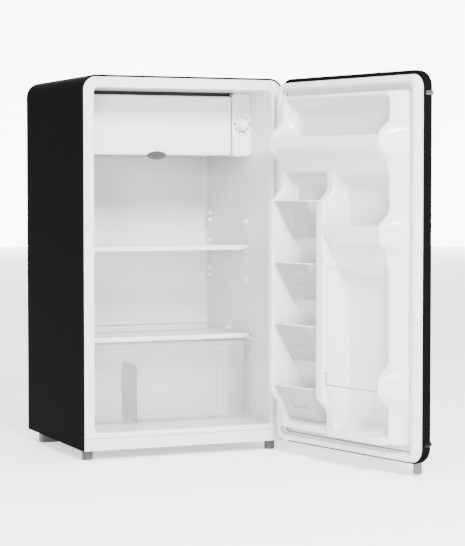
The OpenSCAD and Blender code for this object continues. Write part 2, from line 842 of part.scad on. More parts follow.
// A moulded door shelf: z holds the heights of its root, of the front's lower edge and of its upper edge
module door_shelf(x0, x1, z) {
    t = 3;
    wall(x0, x1) difference() {
        polygon([[-eps, z[0]], [rib_low, z[0]], [rib_low + 4, z[0] + 6], [rib_high - 8, z[1] - 12],
                 [rib_high, z[1]], [rib_high, z[2]], [-eps, z[2]]]);
        polygon([[2 - eps, z[0] + 16], [rib_low - 2, z[0] + 16], [rib_high - 14, z[1] - 6],
                 [rib_high - t, z[1] + 4], [rib_high - t, z[2] + eps], [2 - eps, z[2] + eps]]);
    }
}

// Everything on the door is drawn with y = 0 at the rim, then moved to it
module at_rim() translate([0, door_y1, 0]) children();

module door_liner() {
    color("#f2f2f1") open_door() difference() {
        at_rim() {
            difference() {
                union() {
                    slab(-rim_t, 0)
                        rounded(-half_w + rim_inset, half_w - rim_inset, door_z0 + rim_inset,
                                door_z1 - rim_inset, corner_r - rim_inset);
                    intersection() {
                        union() {
                            upright_ribs(0);
                            cross_ribs(0);
                        }
                        block([-half_w, -rim_t, 0], [half_w, rib_high + eps, top_z]);
                    }
                }
                upright_ribs(liner_t);
                cross_ribs(liner_t);
            }
            block([free_rib_x[1] - 1, -eps, liner_floor - 2],
                  [divider_x[0] + 1, rib_high - 6, liner_floor + 2]);
            door_shelf(free_rib_x[1] - 1, hinge_rib_x[0] + 1, shelf1_z);
            door_shelf(free_rib_x[1] - 1, divider_x[0] + 1, shelf2_z);
        }
        hinge_notches();
        bush_holes();
    }
}

// Fills the door's body and the hollow ribs of its liner
module door_foam() {
    color("#e8dcae") open_door() difference() {
        union() {
            intersection() {
                door_form(-door_skin - 0.3);
                block([-half_w, door_y0 - eps, 0], [half_w, door_y1 - rim_t, top_z]);
            }
            at_rim() {
                upright_ribs(liner_t);
                cross_ribs(liner_t);
            }
        }
        hinge_notches();
        bush_holes();
        for (z = handle_screw_z)
            translate([handle_x, door_y0 - eps, z]) rotate([-90, 0, 0]) cylinder(h = 22, d = screw_d);
    }
}

gasket_out = half_w - 5;
gasket_w = 18;
gasket_foot = 7;

module gasket_ring(outer, inner, y0, y1) {
    slab(y0, y1) difference() {
        rounded(-outer, outer, door_z0 + half_w - outer, door_z1 - half_w + outer, 26);
        rounded(-inner, inner, door_z0 + half_w - inner, door_z1 - half_w + inner, 8);
    }
}

module door_gasket() {
    color("#e4e4e3") open_door() {
        gasket_ring(gasket_out, gasket_out - gasket_w, door_y1, door_y1 + gasket_foot);
        gasket_ring(gasket_out - 1, gasket_out - gasket_w + 4, door_y1 + gasket_foot, -0.3);
    }
}

module door_band(z) {
    color("#3a3a3c") open_door() difference() {
        intersection() {
            door_form(band_out);
            block([-body_w, door_y0 - 10, z], [body_w, door_y1 - 3, z + band_h]);
        }
        door_form(0);
        hinge_notches();
    }
}

band_top_z = top_z - 54;
band_bottom_z = base_z + 40;

module door_band_top() door_band(band_top_z);
module door_band_bottom() door_band(band_bottom_z);

module hinge_bushes() {
    color("#dcdcda") open_door() for (z = hinge_levels, side = [-1, 1])
        translate([hinge_x, -hinge_out, z + side * (notch_z + bush_h / 2) - bush_h / 2]) difference() {
            cylinder(h = bush_h, r = bush_r);
            translate([0, 0, -eps]) cylinder(h = bush_h + 2 * eps, r = pin_dia / 2 + pin_gap);
        }
}

tray_h = 79;
tray_pitch = 134;
tray_t = 2;
tray_foot = 17;
tray_x0 = divider_x[1] + 0.3;
tray_x1 = hinge_rib_x[0] - 0.3;
tray_front_x0 = tray_x0 + 25;

// A can tray: a leaning front, a floor and a side wing that meets the divider
module can_tray(i) {
    z1 = base_z + 538 - i * tray_pitch;
    z0 = z1 - tray_h;
    color("#d6dad9", 0.8) open_door() at_rim() {
        difference() {
            union() {
                wall(tray_front_x0, tray_x1)
                    polygon([[tray_foot, z0], [tray_foot + tray_t, z0], [rib_high - 2, z1],
                             [rib_high - 2 - tray_t, z1]]);
                wall(tray_front_x0, tray_x1)
                    polygon([[0.3, z0], [tray_foot + tray_t, z0], [tray_foot + tray_t, z0 + 3],
                             [0.3, z0 + 3]]);
                wall(tray_x1 - tray_t, tray_x1)
                    polygon([[0.3, z0], [tray_foot + 1, z0], [rib_high - 3, z1], [0.3, z1 - 12]]);
                wall(tray_front_x0, tray_front_x0 + tray_t)
                    polygon([[0.3, z0], [tray_foot + 1, z0], [rib_high - 3, z1], [0.3, z1 - 12]]);
            }
            block([tray_front_x0 + 34, tray_foot + 16, z0 + 34], [tray_x1 - 36, rib_high, z0 + 56]);
        }
        block([tray_x0, rib_low - 8, z1 - 14], [tray_front_x0 + 1, rib_low - 6, z1 - 4]);
    }
}

module can_tray_1() can_tray(0);
module can_tray_2() can_tray(1);
module can_tray_3() can_tray(2);
module can_tray_4() can_tray(3);

rail_r = 1.6;

// Wire across the tall bottle space, hooked into the divider and the free-side rib
module bottle_rail() {
    x0 = free_rib_x[1] + rail_r + pin_gap;
    x1 = divider_x[0] - rail_r - pin_gap;
    y = rib_high - 8;
    color("#f0f0ef") open_door() at_rim() {
        rail_run([x1, y, rail_z + 26], [x1 - 5, y, rail_z + 26]);
        rail_run([x1 - 5, y, rail_z + 26], [x1 - 5, y, rail_z]);
        rail_run([x1 - 5, y, rail_z], [x0 + 5, y, rail_z]);
        rail_run([x0 + 5, y, rail_z], [x0 + 5, y, rail_z + 12]);
        rail_run([x0 + 5, y, rail_z + 12], [x0, y, rail_z + 12]);
    }
}

module rail_run(a, b) {
    d = b - a;
    h = norm(d);
    translate(a) sphere(r = rail_r, $fn = 24);
    translate(a) rotate([0, acos(d[2] / h), atan2(d[1], d[0])]) cylinder(h = h, r = rail_r, $fn = 24);
}

door_foot_gap = 5;

// A round stop under the free corner, a little clear of the floor
module door_foot() {
    color("#8d8e90") open_door() difference() {
        translate([-half_w + 27, door_y1 - 10, door_foot_gap])
            cylinder(h = door_z0 + 4 - door_foot_gap, d = 18);
        door_form(0);
    }
}

module door_handle() {
    y = door_y0 - handle_out + handle_bar_r;
    color("#c8cacc") open_door() {
        translate([handle_x, y, handle_z0]) cylinder(h = handle_len, r = handle_bar_r);
        for (z = [handle_z0, handle_z0 + handle_len])
            translate([handle_x, y, z]) sphere(r = handle_bar_r);
        for (z = handle_screw_z)
            translate([handle_x, y, z]) rotate([-90, 0, 0]) difference() {
                cylinder(h = door_y0 - y, r = 5.5);
                translate([0, 0, 8]) cylinder(h = handle_out, d = screw_d);
            }
    }
}

module handle_screws() {
    color("#a9abad") open_door() for (z = handle_screw_z)
        translate([handle_x, door_y0 - 10, z]) rotate([-90, 0, 0]) cylinder(h = 28, d = screw_d);
}

outer_shell();
back_panel();
cabinet_liner();
cabinet_foam();
kick_plate();
base_pan();
machine_wall_plate();
compressor();
compressor_bracket();
compressor_grommets();
relay_cover();
evaporation_tray();
refrigerant_pipes();
filter_drier();
drain_tube();
mains_inlet();
evaporator();
evaporator_seal();
control_housing();
thermostat();
thermostat_knob();
knob_spindle();
flap_bearing();
ice_flap();
ice_flap_grip();
upper_shelf();
upper_shelf_trim();
lower_shelf();
lower_shelf_trim();
crisper_drawer();
crisper_divider();
front_foot_left();
front_foot_right();
rear_feet();
top_hinge();
bottom_hinge();
hinge_pins();
back_screws();
door_shell();
door_liner();
door_foam();
door_gasket();
door_band_top();
door_band_bottom();
hinge_bushes();
can_tray_1();
can_tray_2();
can_tray_3();
can_tray_4();
bottle_rail();
door_foot();
door_handle();
handle_screws();
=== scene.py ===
"""Looks of a compact refrigerator with a rounded black cabinet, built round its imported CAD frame.

Sizes inside the classes are in millimetres in the cabinet's own layout: X to the right from the cabinet's
middle, Y back from the cabinet's front, Z up from the floor. Door pieces are laid out for the closed door,
with depth counted inwards from the back of the door's rim, and are then turned to where the door stands open.
"""

import json
import logging
import math
from dataclasses import dataclass
from enum import Enum
from typing import Any, Sequence

import bpy
import numpy as np
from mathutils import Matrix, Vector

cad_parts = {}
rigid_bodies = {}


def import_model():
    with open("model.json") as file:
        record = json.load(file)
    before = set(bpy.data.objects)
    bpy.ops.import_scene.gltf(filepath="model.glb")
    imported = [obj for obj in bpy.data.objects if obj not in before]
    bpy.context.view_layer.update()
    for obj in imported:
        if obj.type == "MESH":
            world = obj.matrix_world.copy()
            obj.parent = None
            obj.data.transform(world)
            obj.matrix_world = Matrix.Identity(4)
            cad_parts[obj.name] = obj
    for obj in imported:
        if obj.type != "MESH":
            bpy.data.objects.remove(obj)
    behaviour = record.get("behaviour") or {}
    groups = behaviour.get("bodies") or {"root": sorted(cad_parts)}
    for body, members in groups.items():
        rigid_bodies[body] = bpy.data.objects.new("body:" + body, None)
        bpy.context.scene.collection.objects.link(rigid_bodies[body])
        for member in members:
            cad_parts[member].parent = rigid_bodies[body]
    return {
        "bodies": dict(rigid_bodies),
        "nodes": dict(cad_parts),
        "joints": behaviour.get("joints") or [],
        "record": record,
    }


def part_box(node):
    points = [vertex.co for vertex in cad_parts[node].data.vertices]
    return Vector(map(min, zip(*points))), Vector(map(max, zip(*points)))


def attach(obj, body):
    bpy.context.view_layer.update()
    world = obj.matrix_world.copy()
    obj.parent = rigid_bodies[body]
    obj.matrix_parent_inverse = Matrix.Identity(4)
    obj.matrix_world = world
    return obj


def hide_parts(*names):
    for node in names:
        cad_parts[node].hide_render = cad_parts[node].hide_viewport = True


LOG = logging.getLogger("refrigerator")
Array = np.ndarray
MM = 0.001


# ---------------------------------------------------------------- shader recipes


class Value:
    """A number socket that can be written in sums, so that shader maths reads like maths."""

    def __init__(self, recipe: "Recipe", socket: Any) -> None:
        """Wraps one output socket of a recipe."""
        self.recipe = recipe
        self.socket = socket

    def _sum(self, operation: str, first: Any, second: Any = 0.0) -> "Value":
        """Adds one Math node.

        Args:
            operation: the Math node's operation.
            first: its first value.
            second: its second value.

        Returns:
            The result as a Value.
        """
        made = self.recipe.node("ShaderNodeMath", {"operation": operation}, {0: first, 1: second})
        return Value(self.recipe, made.outputs[0])

    def __add__(self, other: Any) -> "Value":
        """This value plus another."""
        return self._sum("ADD", self, other)

    __radd__ = __add__

    def __sub__(self, other: Any) -> "Value":
        """This value less another."""
        return self._sum("SUBTRACT", self, other)

    def __rsub__(self, other: Any) -> "Value":
        """Another value less this one."""
        return self._sum("SUBTRACT", other, self)

    def __mul__(self, other: Any) -> "Value":
        """This value times another."""
        return self._sum("MULTIPLY", self, other)

    __rmul__ = __mul__

    def __truediv__(self, other: Any) -> "Value":
        """This value over another."""
        return self._sum("DIVIDE", self, other)

    def __gt__(self, other: Any) -> "Value":
        """One where this value is greater, otherwise nought."""
        return self._sum("GREATER_THAN", self, other)

    def __lt__(self, other: Any) -> "Value":
        """One where this value is less, otherwise nought."""
        return self._sum("LESS_THAN", self, other)

    def power(self, exponent: float) -> "Value":
        """This value to a power."""
        return self._sum("POWER", self, exponent)

    def sine(self) -> "Value":
        """The sine of this value."""
        return self._sum("SINE", self)

    def root(self) -> "Value":
        """The square root of this value."""
        return self._sum("SQRT", self)

    def angle_with(self, across: "Value") -> "Value":
        """The angle whose tangent is this value over another."""
        return self._sum("ARCTAN2", self, across)


class Recipe:
    """A material under construction: one Principled shader and what feeds it."""

    def __init__(self, name: str) -> None:
        """Starts an empty material of that name.

        Args:
            name: its name.
        """
        self.material = bpy.data.materials.new(name)
        self.material.use_nodes = True
        self.tree = self.material.node_tree
        self.tree.nodes.clear()
        self.output = self.node("ShaderNodeOutputMaterial")
        self.shader = self.node("ShaderNodeBsdfPrincipled")
        self.tree.links.new(self.shader.outputs[0], self.output.inputs[0])

    def node(self, kind: str, settings: dict | None = None, inputs: dict | None = None) -> Any:
        """Makes any node.

        Args:
            kind: the node's type name.
            settings: its properties, set before anything is joined to it.
            inputs: values or links of its sockets, by name or number.

        Returns:
            The node.
        """
        made = self.tree.nodes.new(kind)
        for key, value in (settings or {}).items():
            setattr(made, key, value)
        for key, value in (inputs or {}).items():
            self.feed(made.inputs[key], value)
        return made

    def feed(self, socket: Any, value: Any) -> None:
        """Sets a socket to a plain value, or joins a link to it.

        Args:
            socket: the socket.
            value: a number, colour, link or Value.
        """
        if isinstance(value, Value):
            value = value.socket
        if isinstance(value, bpy.types.NodeSocket):
            self.tree.links.new(value, socket)
        else:
            socket.default_value = value

    def place(self) -> Any:
        """The vector of the point's own place on the piece, in metres."""
        return self.node("ShaderNodeTexCoord").outputs["Object"]

    def axes(self) -> tuple[Value, Value, Value]:
        """The point's X, Y and Z as three values."""
        split = self.node("ShaderNodeSeparateXYZ", None, {0: self.place()})
        return tuple(Value(self, out) for out in split.outputs)

    def noise(self, scale: float, detail: float = 2.0, stretch: Sequence[float] = (1, 1, 1)) -> Value:
        """Soft noise on the piece.

        Args:
            scale: how many lumps to the metre.
            detail: how many finer layers it has.
            stretch: how much each axis is multiplied.

        Returns:
            The noise, from nought to one.
        """
        turned = self.node("ShaderNodeMapping", None, {"Vector": self.place(), "Scale": tuple(stretch)})
        made = self.node(
            "ShaderNodeTexNoise", None, {"Vector": turned.outputs[0], "Scale": scale, "Detail": detail}
        )
        return Value(self, made.outputs[0])

    def between(self, mask: Value, low: Sequence[float], high: Sequence[float]) -> Any:
        """A colour that goes from low to high with a mask.

        Args:
            mask: nought for low and one for high.
            low: the value at the low end.
            high: the value at the high end.

        Returns:
            The colour's link.
        """
        made = self.node(
            "ShaderNodeMix",
            {"data_type": "RGBA"},
            {0: mask, 6: (*low, 1.0), 7: (*high, 1.0)},
        )
        return made.outputs[2]

    def set(self, **sockets: Any) -> None:
        """Sets the shader's sockets by name, with underscores for spaces."""
        for key, value in sockets.items():
            self.feed(self.shader.inputs[key.replace("_", " ")], value)

    def bump(self, height: Value, strength: float, distance: float) -> None:
        """Feeds a height through a Bump node to the shader's Normal.

        Args:
            height: the relief.
            strength: how strongly it shows.
            distance: its height in metres.
        """
        made = self.node(
            "ShaderNodeBump", None, {"Strength": strength, "Distance": distance, "Height": height}
        )
        self.feed(self.shader.inputs["Normal"], made.outputs[0])


class Grain(Enum):
    """Which way a finish's fine lines run."""

    NONE = (1.0, 1.0, 1.0)
    ALONG_X = (0.03, 1.0, 1.0)


@dataclass(frozen=True)
class Finish:
    """A surface's colour, gloss and fine relief, with slow mottling so that it is never flat.

    Attributes:
        name: the material's name.
        colour: its middle colour, linear.
        vary: how far the colour strays, as a share.
        rough: middle roughness.
        rough_vary: how far the roughness strays.
        metal: how metallic it is.
        relief: height of the fine relief in metres.
        relief_scale: lumps of relief to the metre.
        coat: clear coat weight.
        grain: which way its lines run.
        slow_scale: scale of the slow mottling.
        specular: the shader's specular level.
    """

    name: str
    colour: tuple[float, float, float]
    vary: float = 0.03
    rough: float = 0.4
    rough_vary: float = 0.05
    metal: float = 0.0
    relief: float = 0.00002
    relief_scale: float = 900.0
    coat: float = 0.0
    grain: Grain = Grain.NONE
    slow_scale: float = 9.0
    specular: float = 0.5

    def make(self) -> bpy.types.Material:
        """Builds the material.

        Returns:
            The material.
        """
        recipe = Recipe(self.name)
        slow = recipe.noise(self.slow_scale, 3.0)
        fine = recipe.noise(self.relief_scale, 2.0, self.grain.value)
        low = [max(0.0, c * (1 - self.vary)) for c in self.colour]
        high = [min(1.0, c * (1 + self.vary)) for c in self.colour]
        recipe.set(
            Base_Color=recipe.between(slow, low, high),
            Roughness=self.rough + (slow - 0.5) * self.rough_vary + (fine - 0.5) * self.rough_vary,
            Metallic=self.metal,
            Coat_Weight=self.coat,
            Coat_Roughness=0.12,
            Specular_IOR_Level=self.specular,
        )
        recipe.bump(fine, 0.35, self.relief)
        self.finish_off(recipe)
        return recipe.material

    def finish_off(self, recipe: Recipe) -> None:
        """Room for what a kind of finish adds."""


@dataclass(frozen=True)
class ClearFinish(Finish):
    """Clear or milky plastic or glass: thin seen square on, denser seen along the surface.

    Attributes:
        clear: how much of it is there, seen square on.
        edge: how much is there, seen along the surface.
    """

    clear: float = 0.2
    edge: float = 0.85

    def finish_off(self, recipe: Recipe) -> None:
        """Adds the see-through part, denser towards the edges and in its mottling.

        Args:
            recipe: the recipe it goes into.
        """
        facing = Value(recipe, recipe.node("ShaderNodeLayerWeight", None, {"Blend": 0.35}).outputs["Facing"])
        slow = recipe.noise(14.0, 1.0)
        alpha = self.clear + facing.power(1.6) * (self.edge - self.clear) + (slow - 0.5) * 0.04
        recipe.set(Alpha=alpha)


@dataclass(frozen=True)
class DialPrintAndShadowFinish(Finish):
    """White plastic with ticks printed round a knob, and a painted shadow: a dark crescent under the knob
    that widens as it goes round.

    Attributes:
        middle: the knob's centre in X and Z, in metres.
        radius: the inner radius of the printed ticks and of the painted shadow, in metres.
    """

    middle: tuple[float, float] = (0.0, 0.0)
    radius: float = 0.0165

    def finish_off(self, recipe: Recipe) -> None:
        """Prints the ticks and paints the knob's shadow by working out each point's distance and angle from
        the knob's centre.

        Args:
            recipe: the recipe it goes into.
        """
        x, _, z = recipe.axes()
        dx, dz = x - self.middle[0], z - self.middle[1]
        away = (dx * dx + dz * dz).root()
        turn = dz.angle_with(dx)
        tick = ((turn * 9.0).sine() > 0.8) * (away > self.radius + 0.001) * (away < self.radius + 0.0046)
        share = (turn + math.pi) / (2 * math.pi)
        # painted shadow of the knob: a dark crescent below it, widening as it goes round
        knob_shadow = (away > self.radius - 0.0008) * (away < share * 0.003 + self.radius) * (dz < 0.003)
        mask = 1.0 - (1.0 - tick) * (1.0 - knob_shadow)
        recipe.set(Base_Color=recipe.between(mask, self.colour, (0.012, 0.012, 0.013)))


WHITE = (0.66, 0.66, 0.658)
FINISHES: dict[str, Finish] = {
    f.name: f
    for f in (
        Finish(
            "black_satin_paint", (0.0038, 0.0038, 0.0039), 0.1, 0.45, 0.05, 0.0, 0.00004,
            1100.0, specular=0.0015,
        ),
        Finish("white_lining", WHITE, 0.012, 0.24, 0.05, 0.0, 0.00002, 700.0, 0.1),
        Finish("white_moulding", (0.7, 0.7, 0.698), 0.012, 0.34, 0.05),
        Finish("kick_white", (0.64, 0.64, 0.638), 0.02, 0.42, 0.05),
        Finish("seal_white", (0.68, 0.68, 0.68), 0.03, 0.55, 0.05, 0.0, 0.00005, 500.0),
        Finish("foam_cream", (0.72, 0.62, 0.36), 0.08, 0.9, 0.05, 0.0, 0.0004, 260.0),
        Finish(
            "galvanised_steel", (0.42, 0.43, 0.44), 0.12, 0.42, 0.14, 0.9, 0.00003, 420.0, 0.0,
            Grain.ALONG_X, 40.0,
        ),
        Finish("dark_sheet", (0.022, 0.023, 0.024), 0.12, 0.5, 0.08, 0.2, 0.00005, 600.0),
        Finish("compressor_black", (0.012, 0.012, 0.013), 0.1, 0.42, 0.08, 0.0, 0.0001, 300.0, 0.2),
        Finish("black_plastic", (0.014, 0.014, 0.014), 0.1, 0.5, 0.06, 0.0, 0.00006, 500.0),
        Finish("black_rubber", (0.02, 0.02, 0.02), 0.1, 0.75, 0.06, 0.0, 0.00008, 400.0),
        Finish(
            "copper_pipe", (0.62, 0.26, 0.14), 0.15, 0.3, 0.15, 1.0, 0.00003, 300.0, 0.0,
            Grain.NONE, 60.0,
        ),
        Finish("tube_plastic", (0.66, 0.66, 0.62), 0.04, 0.4),
        Finish(
            "evaporator_aluminium", (0.62, 0.64, 0.66), 0.06, 0.38, 0.12, 0.85, 0.00006, 260.0,
            0.0, Grain.ALONG_X,
        ),
        # grip_grey_and_seal_shadow: the grip's own dark grey, and also the paint of the shadow line along the
        # door seal
        Finish("grip_grey_and_seal_shadow", (0.03, 0.03, 0.03), 0.05, 0.45),
        Finish("foot_grey", (0.06, 0.06, 0.062), 0.06, 0.55, 0.06, 0.0, 0.00006, 500.0),
        Finish("door_foot_grey", (0.09, 0.09, 0.092), 0.06, 0.55, 0.06, 0.0, 0.00006, 500.0),
        Finish("band_black", (0.003, 0.003, 0.0032), 0.1, 0.3, 0.05, 0.0, 0.00002, 900.0, specular=0.12),
        Finish("band_metallic", (0.09, 0.09, 0.092), 0.1, 0.3, 0.05, 0.6, 0.00002, 900.0, 0.2),
        Finish("chrome_plate", (0.78, 0.79, 0.8), 0.02, 0.09, 0.05, 1.0, 0.00001, 300.0),
        Finish("zinc_screw", (0.6, 0.61, 0.62), 0.08, 0.35, 0.1, 1.0, 0.00003, 500.0),
        Finish("wire_white", (0.3, 0.3, 0.3), 0.02, 0.25, 0.04, 0.0, 0.00001, 700.0, 0.3),
        Finish("bush_nylon", (0.7, 0.7, 0.68), 0.04, 0.5),
        ClearFinish(
            "shelf_glass", (0.78, 0.84, 0.83), 0.02, 0.06, 0.02, 0.0, 0.00001, 60.0, clear=0.3,
            edge=0.92,
        ),
        ClearFinish(
            "drawer_clear", (0.84, 0.85, 0.85), 0.02, 0.1, 0.03, 0.0, 0.00002, 90.0,
            clear=0.10, edge=0.5,
        ),
        # divider: its dark grey tint, seen mostly along its edges, is painted shade for the dark outlines of
        # a clear sheet
        ClearFinish(
            "divider_clear_painted_edge_shade", (0.3, 0.31, 0.31), 0.02, 0.16, 0.03, 0.0, 0.00002, 90.0,
            clear=0.16, edge=0.9,
        ),
        ClearFinish(
            "tray_milky", (0.36, 0.362, 0.362), 0.03, 0.2, 0.05, 0.0, 0.00003, 120.0,
            clear=0.93, edge=0.99,
        ),
        # tray rim: a real rolled bead whose much lighter colour is a painted highlight along the trays' top
        # edges
        Finish("tray_rim_painted_highlight", (0.74, 0.74, 0.74), 0.02, 0.2, 0.04, 0.0, 0.00001, 400.0, 0.2),
        Finish("parting_line", (0.03, 0.03, 0.03), 0.1, 0.7),
    )
}
_MADE: dict[str, bpy.types.Material] = {}


def finish(name: str) -> bpy.types.Material:
    """The material of that name, made once.

    Args:
        name: its name.

    Returns:
        The material.
    """
    if name not in _MADE:
        _MADE[name] = FINISHES[name].make()
    return _MADE[name]


def dress(thing: bpy.types.Object, name: str) -> bpy.types.Object:
    """Gives a piece or CAD node one finish.

    Args:
        thing: the piece.
        name: the finish's name.

    Returns:
        The piece.
    """
    made = finish(name)
    if thing.material_slots:
        for place in thing.material_slots:
            place.material = made
    else:
        thing.data.materials.append(made)
    return thing


# ---------------------------------------------------------------- surfaces


def curve(points: Sequence[Sequence[float]], radii: Sequence[float], steps: int = 5) -> Array:
    """A bent line with its corners rounded.

    At each inner corner, an arc of the stated radius touches both legs. A quadratic Bezier between the two
    touching points stands for the arc, and an extra point just before and after it keeps flats flat.

    Args:
        points: the corners in two or three dimensions.
        radii: a radius for each inner corner.
        steps: segments in each arc.

    Returns:
        The rounded line's points.
    """
    p = np.asarray(points, float)
    out = [p[:1]]
    t = np.linspace(0, 1, steps + 1)[:, None]
    for i, radius in zip(range(1, len(p) - 1), radii):
        back, ahead = p[i - 1] - p[i], p[i + 1] - p[i]
        lb, la = np.linalg.norm(back), np.linalg.norm(ahead)
        back, ahead = back / lb, ahead / la
        turn = math.acos(max(-1.0, min(1.0, float(back @ ahead))))
        cut = min(radius / max(math.tan(turn / 2), 1e-6), 0.48 * min(lb, la))
        a, b = p[i] + back * cut, p[i] + ahead * cut
        arc = (1 - t) ** 2 * a + 2 * t * (1 - t) * p[i] + t**2 * b
        pad = min(0.25, 0.01 * min(lb, la))
        out += [p[i : i + 1] + back * (cut + pad), arc, p[i : i + 1] + ahead * (cut + pad)]
    out.append(p[-1:])
    return np.concatenate(out)


@dataclass(frozen=True)
class Outline:
    """A rectangle in X and Z with rounded corners."""

    x0: float
    x1: float
    z0: float
    z1: float
    top_r: float
    bottom_r: float
    steps: int = 8

    def ring(self, inset: float) -> Array:
        """The outline moved inwards.

        Each corner's radius shrinks by the inset, down to 0.3 mm, and a point at angle a on it is
        centre + radius * (cos a, sin a).

        Args:
            inset: how far in, in millimetres.

        Returns:
            Points in X and Z, going round once.
        """
        x0, x1, z0, z1 = self.x0 + inset, self.x1 - inset, self.z0 + inset, self.z1 - inset
        most = 0.49 * min(x1 - x0, z1 - z0)
        top = min(max(self.top_r - inset, 0.3), most)
        low = min(max(self.bottom_r - inset, 0.3), most)
        corners = ((x1 - top, z1 - top, top, 0), (x0 + top, z1 - top, top, 90))
        corners += ((x0 + low, z0 + low, low, 180), (x1 - low, z0 + low, low, 270))
        sweep = np.linspace(0, math.pi / 2, self.steps + 1)
        parts = [
            np.stack([cx + r * np.cos(sweep + math.radians(a)), cz + r * np.sin(sweep + math.radians(a))], 1)
            for cx, cz, r, a in corners
        ]
        return np.concatenate(parts)


def carried(outline: Outline, profile: Array) -> Array:
    """A profile of (inset, depth) pairs carried round an outline.

    The point for profile p and outline angle s is (ring(inset_p)(s).x, depth_p, ring(inset_p)(s).z).

    Args:
        outline: the rectangle it goes round.
        profile: pairs of inset and depth.

    Returns:
        Rows by columns of points.
    """
    rings = [outline.ring(float(i)) for i, _ in profile]
    depths = profile[:, 1]
    return np.stack([np.stack([r[:, 0], np.full(len(r), d), r[:, 1]], 1) for r, d in zip(rings, depths)])


def tube(path: Array, radius: float | Array, sides: int = 20) -> Array:
    """A round tube along a path.

    At each path point two vectors square to the path carry a circle: p + r (cos a * u + sin a * v), with u
    carried from one point to the next without twist.

    Args:
        path: the centre line.
        radius: one radius, or one for each point.
        sides: points in each circle.

    Returns:
        Rows by columns of points.
    """
    step = np.gradient(path, axis=0)
    step /= np.linalg.norm(step, axis=1)[:, None]
    up = np.array([0.0, 0.0, 1.0]) if abs(step[0][2]) < 0.9 else np.array([1.0, 0.0, 0.0])
    us = []
    for direction in step:
        up = up - direction * (up @ direction)
        up /= np.linalg.norm(up)
        us.append(up)
    u = np.array(us)
    v = np.cross(step, u)
    a = np.linspace(0, 2 * math.pi, sides, endpoint=False)
    r = np.broadcast_to(np.asarray(radius, float), (len(path),))[:, None, None]
    around = np.cos(a)[None, :, None] * u[:, None] + np.sin(a)[None, :, None] * v[:, None]
    return path[:, None] + r * around


def run(sections: Sequence[tuple[float, Array]]) -> Array:
    """Outlines in Y and Z, each stood at its own X, one after another.

    Args:
        sections: pairs of X and outline, all with the same number of points.

    Returns:
        Rows by columns of points.
    """
    return np.stack([np.column_stack([np.full(len(ring), x), ring]) for x, ring in sections])


def lathe(profile: Array, centre: Sequence[float], axis: int, sides: int = 64) -> Array:
    """A profile of (radius, place along the axis) turned about an axis through a centre.

    Args:
        profile: pairs of radius and place.
        centre: a point on the axis.
        axis: 1 for Y or 2 for Z.
        sides: points round.

    Returns:
        Rows by columns of points.
    """
    a = np.linspace(0, 2 * math.pi, sides, endpoint=False)
    r, h = profile[:, 0][:, None], profile[:, 1][:, None] + np.zeros(sides)
    c, s = r * np.cos(a), r * np.sin(a)
    parts = [c, h, s] if axis == 1 else [c, s, h]
    return np.stack(parts, -1) + np.asarray(centre, float)


def grid_faces(rows: int, cols: int, wrap_rows: bool, wrap_cols: bool) -> Array:
    """The four-sided faces of a grid of points, row by row.

    Args:
        rows: rows of points.
        cols: points in a row.
        wrap_rows: whether the last row joins the first.
        wrap_cols: whether each row closes on itself.

    Returns:
        One row of four indices for each face.
    """
    i = np.arange(rows if wrap_rows else rows - 1)[:, None]
    j = np.arange(cols if wrap_cols else cols - 1)[None, :]
    i1, j1 = (i + 1) % rows, (j + 1) % cols
    return np.stack([i * cols + j, i * cols + j1, i1 * cols + j1, i1 * cols + j], -1).reshape(-1, 4)


class Placing(Enum):
    """Where a piece's layout is put."""

    CABINET = "cabinet"
    DOOR = "door"


